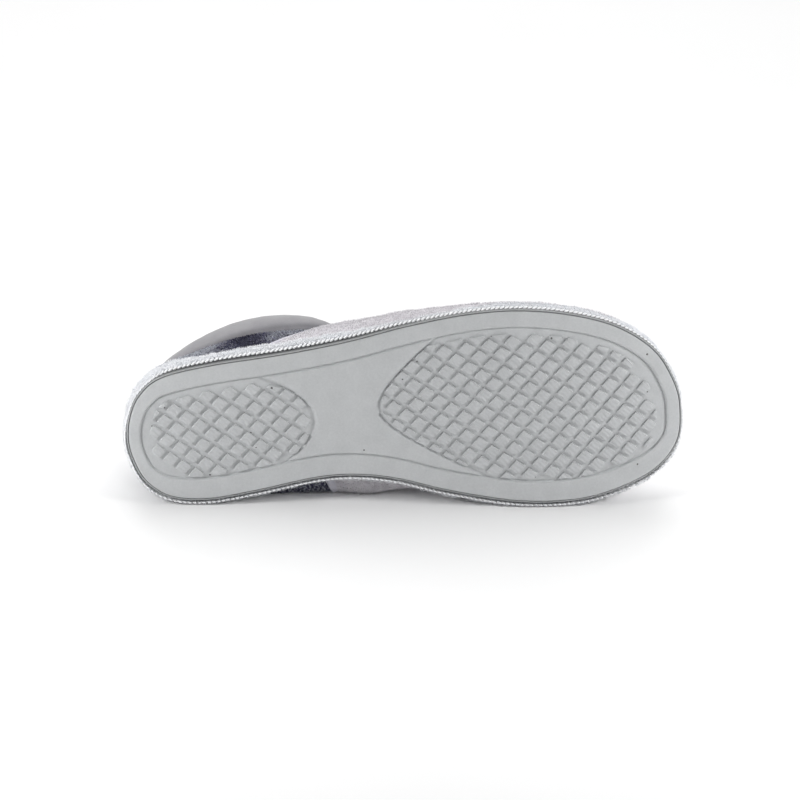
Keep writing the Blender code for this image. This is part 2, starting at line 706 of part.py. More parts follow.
def resting_plane(scene_objects):
    """Outward normal and distance of the medial hull face under which the slipper comes to rest."""
    centre = mesh_mass_centre(scene_objects)
    mesh_data = bmesh.new()
    for scene_object in scene_objects:
        for vertex in scene_object.data.vertices:
            mesh_data.verts.new(vertex.co)
    hull = bmesh.ops.convex_hull(mesh_data, input=mesh_data.verts)
    faces = [face for face in hull["geom"] if isinstance(face, bmesh.types.BMFace)]
    found = []
    for face in faces:
        face.normal_update()
        normal = face.normal
        if normal.y < SIDE_FACING:
            continue
        corners = [np.array(vertex.co) for vertex in face.verts]
        turns = []
        for here, after in zip(corners, corners[1:] + corners[:1]):
            turns.append(np.dot(np.cross(after - here, centre - here), normal))
        if min(turns) > 0.0 or max(turns) < 0.0:
            found.append((np.array(normal), float(np.dot(normal, corners[0]))))
    mesh_data.free()
    return max(found, key=lambda plane: plane[0][1])


def lay_down(scene_objects):
    """Press the soft contact spots flat and stand the pieces on the floor through one empty."""
    down, reach = resting_plane(scene_objects)
    floor = reach - PRESS * MM
    for scene_object in scene_objects:
        for vertex in scene_object.data.vertices:
            excess = float(np.dot(down, vertex.co)) - floor
            if excess > 0.0:
                vertex.co -= Vector(down) * excess
    up = -down
    along = np.array([1.0, 0.0, 0.0])
    along = along - up * np.dot(along, up)
    along = along / np.linalg.norm(along)
    across = np.cross(up, along)
    turn = np.array([along, across, up])
    placed = np.vstack([np.array([v.co for v in o.data.vertices]) @ turn.T for o in scene_objects])
    low, high = placed.min(axis=0), placed.max(axis=0)
    shift = np.array([-(low[0] + high[0]) / 2.0, -(low[1] + high[1]) / 2.0, floor])
    frame = bpy.data.objects.new("laid_on_medial_side", None)
    bpy.context.scene.collection.objects.link(frame)
    frame.matrix_world = Matrix.Translation(Vector(shift)) @ Matrix(turn.tolist()).to_4x4()
    for scene_object in scene_objects:
        scene_object.parent = frame


def finish_piece(scene_object):
    """Give a piece its own material and smooth shading with sharp tread edges."""
    finish = FINISHES[scene_object.name]
    material = bpy.data.materials.new(scene_object.name)
    material.use_nodes = True
    shader = material.node_tree.nodes["Principled BSDF"]
    shader.inputs["Base Color"].default_value = (*finish.colour, 1.0)
    shader.inputs["Roughness"].default_value = finish.roughness
    shader.inputs["Metallic"].default_value = 0.0
    scene_object.data.materials.clear()
    scene_object.data.materials.append(material)
    scene_object.data.shade_smooth()
    scene_object.data.set_sharp_from_angle(angle=math.radians(SHARP_ANGLE))


def main():
    clear_scene()
    parts = bpy.data.collections.new(OBJECT_NAME)
    helpers = bpy.data.collections.new("cutters")
    for collection in (parts, helpers):
        bpy.context.scene.collection.children.link(collection)
    pieces = [
        make_outsole(parts, helpers),
        make_platform(parts),
        make_insole(parts),
        make_upper(parts),
        make_collar(parts),
    ]
    lay_down(pieces)
    for piece in pieces:
        finish_piece(piece)


main()
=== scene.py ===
"""Looks of the faux fur lined slipper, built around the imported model.

Every piece is worked out in the shoe's own frame, in millimetres, and then set down in the model's frame:
x runs from the heel to the toe, y towards the medial side and z up from the ground under the sole.
"""
import json
import math
from collections import namedtuple

import bmesh
import bpy
import numpy as np
from mathutils import Matrix, Vector, noise


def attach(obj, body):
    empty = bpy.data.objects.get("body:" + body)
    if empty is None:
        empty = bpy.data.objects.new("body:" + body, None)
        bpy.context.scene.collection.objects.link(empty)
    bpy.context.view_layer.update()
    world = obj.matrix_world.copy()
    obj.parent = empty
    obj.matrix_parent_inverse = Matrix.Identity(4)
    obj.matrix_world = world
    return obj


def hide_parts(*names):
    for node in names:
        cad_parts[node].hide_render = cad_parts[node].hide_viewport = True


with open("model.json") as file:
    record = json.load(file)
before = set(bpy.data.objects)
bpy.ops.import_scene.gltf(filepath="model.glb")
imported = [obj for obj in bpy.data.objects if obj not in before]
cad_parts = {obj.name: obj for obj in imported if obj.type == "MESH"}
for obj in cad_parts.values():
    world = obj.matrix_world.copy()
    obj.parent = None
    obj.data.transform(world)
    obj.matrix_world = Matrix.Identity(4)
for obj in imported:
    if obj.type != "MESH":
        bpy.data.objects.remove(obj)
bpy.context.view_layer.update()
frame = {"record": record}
MM = 0.001
BODY = "root"


def named_rows(columns, *rows):
    """Table whose rows have the named columns."""
    kind = namedtuple("Row", columns)
    return tuple(kind(*row) for row in rows)


# Photograph: tilt of the view from the sole's normal to the lateral side, slope of the shoe's length in the
# picture, the pixel of the heel back's middle and the scale
VIEW_TILT = 22.0
PHOTO_SLOPE = 8.1
PHOTO_HEEL = (128.0, 447.0)
PHOTO_SIZE = 800.0
PIXELS_PER_MM = 2.22
LENS = 240.0
SENSOR = 36.0
FAR_CLIP = 50.0

# Place of the record's mount tread_face in the shoe frame
TREAD_FACE = (45.0, -28.8, 0.0)

# Lowest height of any point over the floor, in metres
FLOOR_CLEAR = 0.0002

# Outsole outline, seen from above: from the heel back along the lateral side to the toe and back
OUTLINE = (
    (0.0, -3.0), (2.2, -14.0), (8.0, -24.2), (19.0, -31.4), (42.0, -33.9), (75.0, -34.3), (105.0, -36.1),
    (132.0, -39.6), (158.0, -41.5), (182.0, -39.9), (205.0, -33.9), (225.0, -24.2), (240.0, -9.7),
    (247.3, 7.5), (248.6, 22.0), (245.2, 37.8), (233.0, 49.3), (212.0, 55.5), (192.0, 56.2),
    (168.0, 52.3), (140.0, 43.0), (118.0, 33.8), (100.0, 28.9), (82.0, 27.5), (55.0, 29.6),
    (33.0, 30.4), (16.0, 27.0), (5.5, 18.3), (1.0, 7.0),
)
LATERAL, MEDIAL = -1, 1
SPAN_SAMPLES = 24
TANGENT_STEP = 0.004
RING_STEPS = 360

# Side profile of the sole
SPRING_START = 172.0
SPRING_END = 248.6
TOE_SPRING = 7.0
HEEL_ROUND = 16.0
HEEL_RISE = 1.2

# Outsole: the edge from its top round the lip to the border, by offset from the outline and height, and the
# painted shade on its side and in its groove, how much darker that is coloured
OUTSOLE_EDGE = named_rows(
    "offset height shade",
    (-0.6, 4.0, 1.0), (-0.1, 3.9, 1.0), (0.5, 3.6, 1.0), (0.75, 3.1, 1.0), (0.75, 1.0, 1.0),
    (0.65, 0.6, 0.7), (0.4, 0.42, 0.25), (0.15, 0.45, 0.25), (-0.02, 0.85, 1.0), (-0.18, 0.85, 1.0),
    (-0.3, 0.3, 0.5), (-0.45, 0.08, 0.0), (-0.9, 0.0, 0.0), (-2.2, 0.0, 0.0), (-3.4, 0.0, 0.0),
)
# Darkest painted shade on the outsole's side and groove, as a share taken off the rubber's colour
EDGE_PAINTED_SHADE = 0.68
TREAD_DEPTH = 1.0

# How far the lip moves out from there on each side, at the toe and at the heel back, and the distances
# inside the outline over which that fades out
LIP_LATERAL = -0.8
LIP_LATERAL_TOE = -0.7
LIP_MEDIAL = 0.3
LIP_TOE = 0.8
LIP_HEEL_BACK = -0.6
LIP_FADE = (0.5, 3.4)

# Width of the smooth border, and the width at both ends from which the blocks keep their distance
BORDER_SIDE = 9.3
BORDER_HEEL = 5.9
BORDER_TOE = 5.2
BLOCK_BORDER_END = 7.0

# Step from the border into the tread panels, and the groove beside the waist: distance in from the border's
# edge, height in a panel and height at the waist
BORDER_STEP = named_rows(
    "distance panel waist",
    (-0.8, 0.0, 0.0), (-0.35, 0.03, 0.03), (-0.1, 0.25, 0.25), (0.08, 0.8, 0.75), (0.25, 1.2, 0.95),
    (0.55, 1.35, 0.95), (0.75, 1.25, 0.7), (0.92, 1.1, 0.25), (1.15, 1.02, 0.05), (1.5, 1.0, 0.0),
    (1.9, 1.0, 0.0),
)
ACROSS_STEPS = 140

# Rounded ends of the tread panels towards the waist: a parabola at the heel, a hyperbola at the forefoot
HEEL_TIP = (85.6, -1.0)
HEEL_TIP_CURVE = 0.0395
FOREFOOT_TIP = (113.6, -1.0)
FOREFOOT_TIP_ROUND = 19.9
FOREFOOT_TIP_SLOPE = 1.5

# Edge of the waist along those ends: distance past the panel's end and share of the waist's full height
TIP_EDGE = named_rows(
    "distance share",
    (-1.6, 0.0), (-0.9, -0.45), (-0.4, -0.45), (0.05, 0.55), (0.35, 0.75), (1.3, 0.86), (2.2, 1.0),
)

# Diamond blocks of the tread: pitch, the share that a block fills, one block's place, margins to the panel's
# edge, the smallest block and the rows of a block's side
BLOCK_PITCH_X = 10.3
BLOCK_PITCH_Y = 9.3
BLOCK_FILL = 0.72
BLOCK_START = (54.2, -14.3)
TIP_MARGIN = 1.6
MARGIN_LATERAL = 3.3
MARGIN_MEDIAL = 1.2
BLOCK_MIN_AREA = 5.0
BLOCK_MIN_EDGE = 0.7
PANEL_STEPS = 34
TIP_STEPS = 12
BLOCK_EDGE = named_rows("inset height", (-0.2, 1.3), (-0.1, 1.0), (-0.02, 0.3), (0.08, 0.08), (0.28, 0.0))

# Small dark specks on the tread, by place, with their radius
SPECKS = named_rows(
    "x y radius",
    (34.5, 19.5, 0.45), (68.0, -18.5, 0.55), (55.5, 2.0, 0.5), (57.0, 9.0, 0.3), (19.0, -16.0, 0.3),
    (12.0, -8.0, 0.3), (105.0, 17.7, 0.4), (126.7, -13.7, 0.35), (134.3, -21.0, 0.35),
    (169.0, -28.0, 0.35), (180.0, 43.0, 0.4), (195.5, -23.0, 0.45), (215.5, -14.0, 0.4),
    (237.5, -7.0, 0.5), (235.5, 11.0, 0.35), (227.0, 45.0, 0.4),
)
SPECK_SIDES = 8
SPECK_LIFT = 0.03

# Wedge platform wrapped in plush; the rows of its edge give an offset from the outline, a share of the swell
# and a share of the height
OUTSOLE_THICK = 4.0
GAP = 0.3
PLATFORM_HEEL_TOP = 13.5
PLATFORM_BALL_TOP = 9.2
WEDGE = (45.0, 160.0)
PLATFORM_PROFILE = named_rows(
    "offset swell rise",
    (-2.0, 0.0, 0.0), (0.0, 0.85, 0.08), (0.0, 1.0, 0.30), (0.0, 0.9, 0.62), (-0.1, 0.5, 0.92),
    (-0.4, 0.0, 1.0), (-4.0, 0.0, 1.0),
)
PROFILE_SAMPLES = 4
PLUSH_SWELL = 1.4
PLUSH_SWELL_MEDIAL = 2.2
PLUSH_SWELL_LATERAL_TOE = 2.2
PLUSH_SWELL_HEEL_BACK = 0.4
PLUSH_SWELL_HEEL_CORNER = 3.6

# How far the plush hangs over the outsole's side, more of it on the medial side; it sets in with the swell
# and ends with the rise of the profile's rows
PLUSH_HANG = 0.9
PLUSH_HANG_MEDIAL = 1.3
HANG_SWELL = (0.5, 0.85)
HANG_RISE = (0.25, 0.7)

# How far the plush's upper edge lies lower along the lateral side, and the share of that by which it is
# drawn in; it sets in with the rise and ends with the offset of the profile's rows
PLUSH_SINK = named_rows(
    "x sink",
    (0.0, 0.0), (24.0, 0.2), (38.0, 1.6), (48.0, 1.7), (62.0, 0.6), (100.0, 0.6), (124.0, 2.8),
    (150.0, 2.8), (174.0, 0.8), (250.0, 0.0),
)
PLUSH_SINK_IN = 0.35
SINK_RISE = (0.2, 0.8)
SINK_OFFSET = (0.5, 3.0)

# Where along the shoe the lateral side turns towards the toe
LATERAL_TOE = (110.0, 165.0)

# Lumps of the plush and the vamp: their size, how far they stand out and the seed of their noise; and the
# quarter's share of the vamp's lumps
PLUSH_LUMPS = named_rows("size out seed", (3.0, 0.4, 0.0), (8.0, 0.6, 0.0))
VAMP_LUMPS = named_rows("size out seed", (14.0, 0.5, 3.0), (5.0, 0.25, 7.0))
QUARTER_LUMPS = 0.3

# Whip stitch that ropes the plush to the outsole; it follows a share of the plush's swell
STITCH_SWELL = 0.8
STITCH_FLAT = 0.8
STITCH_PITCH = 2.1
STITCH_LONG = 1.75
STITCH_WIDE = 0.72
STITCH_SLANT = 52.0
STITCH_HEIGHT = 2.8
STITCH_HANG_MEDIAL = 0.8
STITCH_OUT = 0.15
STITCH_OUT_MEDIAL = -0.5
STITCH_OUT_LATERAL = -0.25

# Upper: how far its foot stands in from the outline and sinks into the plush, its thickness, its steps, the
# shape of its sag, and its sections along the quarter and the vamp
FEATHER_INSET = 1.8
FOOT_SINK = 0.6
SKIN_SINK = 2.8
WALL = 2.0
WALL_STEPS = 44
COLUMNS_PER_ROW = 12
VAMP_TURN = 90.0
CENTRE_LINE = -0.5
SAG_SKEW = 0.3
SAG_STEPS = 8
SAG_DROP = 0.45
QUARTER = named_rows(
    "share x half height turn bulge_lateral bulge_medial sag",
    (0.000, 7.0, 0.0, 37.0, 36.0, 1.2, 1.2, 0.0),
    (0.050, 10.0, 10.6, 36.8, 36.0, 0.3, 1.4, 0.0),
    (0.100, 19.2, 18.6, 36.2, 36.0, -0.8, 1.4, 0.0),
    (0.150, 32.4, 24.6, 35.8, 36.0, -0.8, 1.2, 1.0),
    (0.195, 48.0, 28.0, 38.0, 38.0, -0.2, 1.2, 4.5),
    (0.235, 65.0, 28.9, 41.4, 42.0, 0.0, 1.4, 8.5),
    (0.262, 82.0, 27.0, 44.0, 48.0, -0.6, 1.6, 11.0),
    (0.285, 96.0, 22.2, 49.2, 60.0, -1.5, 1.8, 12.0),
    (0.312, 103.5, 15.6, 53.6, 72.0, -0.6, 2.0, 14.0),
    (0.335, 108.3, 8.2, 56.3, 82.0, 0.2, 2.3, 15.0),
    (0.352, 110.0, 0.0, 57.5, 90.0, 0.7, 2.5, 15.5),
)
VAMP_EDGE_ROW = 7
THROAT = len(QUARTER) - 1
QUARTER_BEFORE = QUARTER[1]._replace(share=-QUARTER[1].share, half=-QUARTER[1].half)
SHARE_AFTER = 2.0 * QUARTER[-1].share - QUARTER[-2].share
QUARTER_AFTER = QUARTER[-2]._replace(share=SHARE_AFTER, half=-QUARTER[-2].half)
VAMP = named_rows(
    "share x y height bulge_lateral bulge_medial sag",
    (0.352, 110.0, -0.5, 57.5, 0.7, 2.5, 15.5),
    (0.420, 127.0, 1.2, 53.6, 1.4, 2.6, 15.0),
    (0.500, 146.0, 4.2, 47.8, 1.3, 2.8, 9.0),
    (0.580, 164.0, 7.6, 42.6, -0.3, 3.0, 2.5),
    (0.660, 180.0, 10.8, 38.2, -1.2, 3.0, 0.0),
    (0.740, 195.0, 13.6, 34.6, -0.2, 2.8, 0.0),
    (0.810, 206.0, 15.8, 32.4, 0.8, 2.2, 0.0),
    (0.870, 212.0, 17.0, 31.6, 1.2, 1.8, 0.0),
    (0.935, 212.0, 17.0, 31.6, 1.4, 1.6, 0.0),
    (1.000, 212.0, 17.0, 31.6, 1.4, 1.4, 0.0),
)
RIDGE_END_ROW = 7
TOE = THROAT + len(VAMP) - 1

# Folded edge of the vamp: distance from the edge, in millimetres, and how far the surface stands out there
FOLD = named_rows(
    "distance raised",
    (-0.35, 0.0), (0.0, 0.55), (0.3, 1.15), (0.8, 1.55), (1.6, 1.7), (3.6, 1.5), (4.3, 1.1), (4.7, 0.75),
    (5.1, 1.0), (6.0, 1.25), (9.0, 1.2), (35.0, 1.2), (62.0, 0.2),
)
FOLD_END = 4.7
ROW_LENGTH = 10.0

# Slant of the vamp's edge towards the toe, in rows of the tables: up to the middle of the wall, above it,
# back at the very top, and low on the medial side; with the heights over which each comes in or fades
EDGE_SHIFT_MIDDLE = 1.8
MIDDLE_HEIGHTS = (0.25, 0.6)
EDGE_SHIFT_UPPER = 1.0
UPPER_HEIGHTS = (0.58, 0.88)
EDGE_SHIFT_BACK = 0.85
BACK_HEIGHTS = (0.88, 1.0)
EDGE_SHIFT_MEDIAL = 2.8
MEDIAL_HEIGHTS = (0.05, 0.7)

# How many rows the slant reaches: behind the edge at the top, behind it lower down, and ahead of the throat
SLANT_BEHIND_TOP = 3.0
SLANT_BEHIND = 4.5
SLANT_AHEAD = 2.0

# Soft creases of the upper: a line between two places on the wall, with its depth and width in millimetres
CREASES = named_rows(
    "side place height to_place to_height depth width",
    (LATERAL, 12.2, 0.15, 12.9, 0.95, 0.9, 4.0),
    (LATERAL, 13.5, 0.20, 13.4, 0.98, 1.1, 5.0),
    (LATERAL, 14.7, 0.25, 13.9, 0.98, 0.8, 4.0),
    (MEDIAL, 12.4, 0.20, 12.9, 0.95, 0.9, 4.0),
    (MEDIAL, 13.6, 0.25, 13.4, 0.98, 1.1, 5.0),
    (MEDIAL, 14.8, 0.30, 13.9, 0.98, 0.8, 4.0),
    (LATERAL, 1.5, 0.35, 3.6, 0.55, 0.7, 4.0),
    (MEDIAL, 1.5, 0.35, 3.4, 0.60, 0.7, 4.0),
    (LATERAL, 10.8, 0.02, 10.9, 0.90, 0.7, 1.0),
)
CREASE_ROW_LENGTH = 17.0
CREASE_FADE = 0.25

# Padded collar roll at each quarter section: height along the wall, thickness across it, how far it stands
# out from the wall, how much it turns from the wall's own lean to the vertical, and how far it hangs below
# the wall's top edge
COLLAR = named_rows(
    "tall thick out upright sink",
    (15.5, 11.0, -1.5, 1.0, 3.0), (15.5, 11.2, -1.9, 1.0, 3.0), (16.0, 11.8, -1.7, 1.0, 3.2),
    (18.0, 12.2, -0.6, 1.0, 3.0), (19.0, 12.2, 0.3, 1.0, 2.8), (19.5, 12.0, 0.9, 0.9, 2.4),
    (18.8, 11.4, 1.1, 0.7, 2.0), (16.5, 10.0, 1.1, 0.4, 1.4), (13.6, 8.6, 0.7, 0.2, 1.3),
    (12.2, 7.8, 0.4, 0.1, 1.6), (11.8, 7.4, 0.3, 0.0, 1.8),
)
COLLAR_SIDES = 36
COLLAR_COLUMNS_PER_ROW = 2
COLLAR_SMOOTHING = 6
COLLAR_SAMPLES = 9
COLLAR_CREASE = 0.1
COLLAR_CREASE_ANGLE = 166.0
COLLAR_CREASE_WIDTH = 6.0
COLLAR_WRINKLE = 0.16
COLLAR_WRINKLE_SIZE = 4.0
COLLAR_WRINKLE_SEED = 5.0
COLLAR_WRINKLE_STRETCH = (1.0, 1.0, 0.35)

# Insole
INSOLE_THICK = 3.0
INSOLE_INSET = 5.0
INSOLE_PROFILE = named_rows(
    "offset swell rise",
    (-6.0, 0.0, 0.0), (-0.8, 0.0, 0.0), (0.0, 0.0, 0.25), (0.0, 0.0, 0.7), (-0.9, 0.0, 1.0),
    (-6.0, 0.0, 1.05),
)

# Pile: how many fibres, their length and width in millimetres, how far they lean with the comb and at
# random, the comb's direction, and the rings of a fibre as shares of its length and width
Pile = namedtuple("Pile", "seed count length width lean scatter comb levels")
SHORT_LEVELS = ((0.0, 1.0),)
LONG_LEVELS = ((0.0, 1.0), (0.5, 0.8))
DOWN = (-0.25, 0.0, -0.9)
PLUSH_PILE = Pile(11, 37000, 1.3, 0.35, 0.5, 0.55, (0.0, 0.0, -0.6), SHORT_LEVELS)
FLEECE_PILE = Pile(12, 38000, 1.15, 0.38, 0.45, 0.75, DOWN, SHORT_LEVELS)
QUARTER_PILE = Pile(13, 18000, 1.6, 0.42, 2.2, 0.6, DOWN, LONG_LEVELS)
LINING_PILE = Pile(14, 8500, 4.2, 0.7, 1.0, 0.5, DOWN, LONG_LEVELS)
SOCK_PILE = Pile(15, 6500, 4.0, 0.74, 0.7, 0.6, (-0.5, 0.0, 0.0), LONG_LEVELS)
LENGTH_RANGE = (0.6, 1.2)
WIDTH_RANGE = (0.7, 1.25)
FIBRE_SIDES = 3
ROOT_DEPTH = 0.25

# Where the pile grows: distances from the vamp's edge in millimetres and heights on the wall. The lining
# leaves out the top of the wall ahead of the collar; the sock has fur where it faces up
NAP_START = 0.6
FUR_END = -0.8
FUR_TOP = 0.93
LINING_END = 60.0
LINING_LOW = 0.08
LINING_TOP_START = 15.0
LINING_TOP = 0.85
SOCK_UPWARD = 0.6

# How light the quarter's fur is along the shoe, from 0 to 1, and how that is blurred: the fur's own mottled
# tone with painted shade in the dark band and painted light at the lighter ends
QUARTER_TONE_AND_SHADING = named_rows(
    "x tone",
    (0.0, 0.85), (38.0, 1.0), (46.0, 0.85), (54.0, 0.12), (62.0, 0.05), (66.0, 0.45), (71.0, 0.85),
    (100.0, 0.85),
)
TONE_AND_SHADING_SHARE = 0.85
TONE_AND_SHADING_BLUR = 2.5
TONE_AND_SHADING_LUMP = 5.0

# Fabrics: dark and light colour of their patches, size of the patches, size and height of the grain
Fabric = namedtuple("Fabric", "name dark light patch grain height roughness sheen")
PLUSH_BACKING = Fabric("plush_backing", (0.78, 0.80, 0.83), (0.90, 0.91, 0.93), 4.0, 0.5, 0.25, 0.95, 0.0)
THREAD = Fabric("thread", (0.86, 0.88, 0.90), (0.97, 0.97, 0.98), 2.0, 0.25, 0.08, 0.7, 0.5)
UPPER_FABRICS = (
    Fabric("quarter_backing", (0.045, 0.045, 0.085), (0.14, 0.14, 0.21), 6.0, 0.8, 0.3, 0.95, 0.0),
    Fabric("folded_edge", (0.60, 0.585, 0.66), (0.70, 0.69, 0.75), 5.0, 0.35, 0.06, 0.8, 0.2),
    Fabric("fleece_backing", (0.60, 0.575, 0.615), (0.74, 0.72, 0.75), 5.0, 0.8, 0.35, 0.95, 0.2),
    Fabric("lining_backing", (0.10, 0.10, 0.16), (0.2, 0.2, 0.28), 6.0, 0.8, 0.3, 0.95, 0.0),
)
ON_QUARTER, ON_FOLD, ON_VAMP, INSIDE = range(len(UPPER_FABRICS))
COLLAR_FABRIC = Fabric(
    "collar_fabric", (0.265, 0.26, 0.275), (0.32, 0.315, 0.33), 8.0, 0.35, 0.06, 0.8, 0.35,
)
SOCK_BACKING = Fabric("sock_backing", (0.10, 0.10, 0.16), (0.22, 0.22, 0.30), 6.0, 0.8, 0.3, 0.95, 0.0)

# Colours of the pile along its patches and its fibres' own tint, with that tint's share
Fur = namedtuple("Fur", "name patch sheen by_fibre stops")
PLUSH_FUR = Fur("plush_pile", 3.0, 0.3, 0.25, ((0.25, (0.80, 0.82, 0.86)), (0.75, (0.95, 0.95, 0.97))))
FLEECE_FUR = Fur("fleece_pile", 2.5, 0.3, 0.25, (
    (0.25, (0.60, 0.575, 0.61)), (0.55, (0.72, 0.70, 0.73)), (0.85, (0.84, 0.83, 0.86)),
))
QUARTER_FUR = Fur("quarter_fur", 7.0, 0.2, 0.75, (
    (0.2, (0.022, 0.023, 0.055)), (0.4, (0.08, 0.08, 0.15)), (0.57, (0.27, 0.27, 0.36)),
    (0.78, (0.7, 0.72, 0.78)),
))
LINING_FUR = Fur("lining_fur", 6.0, 0.2, 0.25, (
    (0.25, (0.07, 0.07, 0.12)), (0.55, (0.2, 0.2, 0.28)), (0.85, (0.42, 0.42, 0.5)),
))
SOCK_FUR = Fur("sock_fur", 6.0, 0.2, 0.25, (
    (0.25, (0.10, 0.10, 0.16)), (0.55, (0.24, 0.24, 0.32)), (0.85, (0.48, 0.48, 0.55)),
))

# Colours of the rubber, the specks and the floor, and the hatch on the block tops
RUBBER_COLOUR = (0.57, 0.583, 0.592)
RUBBER_STOPS = ((0.3, (0.53, 0.543, 0.552)), (0.7, (0.61, 0.623, 0.632)))
SPECK_COLOUR = (0.12, 0.12, 0.12)
SPECK_STOPS = ((0.35, (0.08, 0.08, 0.08)), (0.7, (0.2, 0.2, 0.2)))
FLOOR_COLOUR = (0.97, 0.97, 0.97)
FLOOR_STOPS = ((0.3, (0.965, 0.965, 0.965)), (0.7, (0.975, 0.975, 0.975)))
HATCH_PITCH = 0.9
HATCH_WAVES = 0.2

# Lights, all aimed at one place, by place and edge in metres and power in watts; and the white surround
Light = namedtuple("Light", "name place size power")
LIGHTS = (
    Light("softbox_top", (0.0, 0.7, 1.1), 1.4, 14.8),
    Light("softbox_low", (0.0, -0.9, 0.1), 0.5, 0.35),
    Light("softbox_front", (-0.5, -0.18, 0.3), 0.14, 1.6),
    Light("softbox_end", (-0.7, 0.3, 0.5), 0.3, 0.4),
    Light("softbox_front", (0.5, -0.18, 0.3), 0.14, 1.6),
    Light("softbox_end", (0.7, 0.3, 0.5), 0.3, 0.4),
)
LIGHT_AIM = (0.0, 0.0, 0.03)
SURROUND = 0.12
FLOOR_SIZE = 8.0


# Shape functions


def unit(vectors):
    return vectors / np.linalg.norm(vectors, axis=-1, keepdims=True)


def ease(value, start, end):
    """Smooth step from 0 at start to 1 at end."""
    t = np.clip((value - start) / (end - start), 0.0, 1.0)
    return t * t * (3.0 - 2.0 * t)


def cubic(first, start, end, last, t):
    """Catmull-Rom curve from start to end."""
    linear = (end - first) * t
    square = (2.0 * first - 5.0 * start + 4.0 * end - last) * t ** 2
    cube = (3.0 * start - first - 3.0 * end + last) * t ** 3
    return 0.5 * (2.0 * start + linear + square + cube)


def smooth_loop(points, samples):
    """Dense closed curve through the points."""
    ring = np.array(points, dtype=float)
    t = np.linspace(0.0, 1.0, samples, endpoint=False)[:, None, None]
    before, after, beyond = (np.roll(ring, k, axis=0) for k in (1, -1, -2))
    curve = cubic(before, ring, after, beyond, t)
    return curve.transpose(1, 0, 2).reshape(-1, ring.shape[1])


def table_at(rows, places, before=None, after=None):
    """Values at places between a table's rows; before and after are the rows past its ends."""
    table = np.array(rows, dtype=float)
    before = 2.0 * table[0] - table[1] if before is None else before
    after = 2.0 * table[-1] - table[-2] if after is None else after
    run = np.vstack([before, table, after])
    index = np.clip(np.floor(places).astype(int), 0, len(table) - 2)
    first, start, end, last = (run[index + k] for k in range(4))
    return cubic(first, start, end, last, (places - index)[:, None])


class Outline:
    """The outsole's outline by length: u runs once around it, share along one side of it."""

    def __init__(self, points):
        self.points = smooth_loop(points, SPAN_SAMPLES)
        self.closed = np.vstack([self.points, self.points[:1]])
        lengths = np.linalg.norm(np.diff(self.closed, axis=0), axis=1)
        self.length = lengths.sum()
        self.along = np.concatenate([[0.0], np.cumsum(lengths)]) / self.length
        self.lateral_part = self.along[int(np.argmax(self.points[:, 0]))]

    def around(self, side, share):
        if side == LATERAL:
            return share * self.lateral_part
        return 1.0 - share * (1.0 - self.lateral_part)

    def point(self, u):
        u = np.mod(u, 1.0)
        return np.stack([np.interp(u, self.along, self.closed[:, k]) for k in (0, 1)], axis=-1)

    def tangent(self, u):
        return unit(self.point(u + TANGENT_STEP) - self.point(u - TANGENT_STEP))

    def outward(self, u):
        tangent = self.tangent(u)
        return np.stack([tangent[..., 1], -tangent[..., 0]], axis=-1)

    def offset(self, u, distance):
        return self.point(u) + self.outward(u) * np.asarray(distance)[..., None]


SOLE = Outline(OUTLINE)


def facing(u):
    """How far places on the outline face ahead, back, to the medial and to the lateral side, from 0 to 1."""
    ahead, across = np.moveaxis(SOLE.outward(u), -1, 0)
    return [np.maximum(0.0, part) for part in (ahead, -ahead, across, -across)]


def towards_toe(u):
    """From 0 to 1 where the lateral side turns towards the toe."""
    return ease(SOLE.point(u)[..., 0], *LATERAL_TOE)


def ring_params(steps=RING_STEPS):
    """Places around the outline: lateral side heel to toe, then the medial side back."""
    shares = np.arange(steps + 1) / steps
    return np.concatenate([SOLE.around(LATERAL, shares), SOLE.around(MEDIAL, shares[-2:0:-1])])


def lift(x):
    """Height of the sole's underside over the ground: toe spring and rounded heel back."""
    toe = np.maximum(0.0, (x - SPRING_START) / (SPRING_END - SPRING_START))
    heel = np.maximum(0.0, (HEEL_ROUND - x) / HEEL_ROUND)
    return TOE_SPRING * toe ** 2 + HEEL_RISE * heel ** 2


def platform_top(x):
    return PLATFORM_HEEL_TOP + (PLATFORM_BALL_TOP - PLATFORM_HEEL_TOP) * ease(x, *WEDGE)


def standing(plan, height):
    """Points over the plan at a height above the sole's curved underside."""
    plan = np.asarray(plan)
    z = np.broadcast_to(height, plan.shape[:-1]) + lift(plan[..., 0])
    return np.concatenate([plan, z[..., None]], axis=-1)


def lumps(points, size, seed=0.0):
    """Smooth noise from -1 to 1 at each point, with lumps of the given size."""
    return np.array([noise.noise(Vector(p) / size + Vector((seed, seed, seed))) for p in points])


# Meshes in the model's frame


def shoe_frame():
    """Turn and origin that set the shoe frame down in the model, from the flat face on its tread."""
    mount = next(m for m in frame["record"]["mounts"] if m["name"] == "tread_face")
    up = -Vector(mount["axis"]).normalized()
    along = up.cross(Vector((0.0, 1.0, 0.0))).normalized()
    across = up.cross(along)
    turn = Matrix((along, across, up)).transposed()
    origin = Vector(mount["pos_m"]) - turn @ (Vector(TREAD_FACE) * MM)
    return np.array(turn), np.array(origin)


TURN, ORIGIN = shoe_frame()


def to_world(points):
    """Shoe frame to model frame; what would sink into the floor is pressed flat on it."""
    world = np.asarray(points) @ TURN.T * MM + ORIGIN
    world[:, 2] = np.maximum(world[:, 2], FLOOR_CLEAR)
    return world


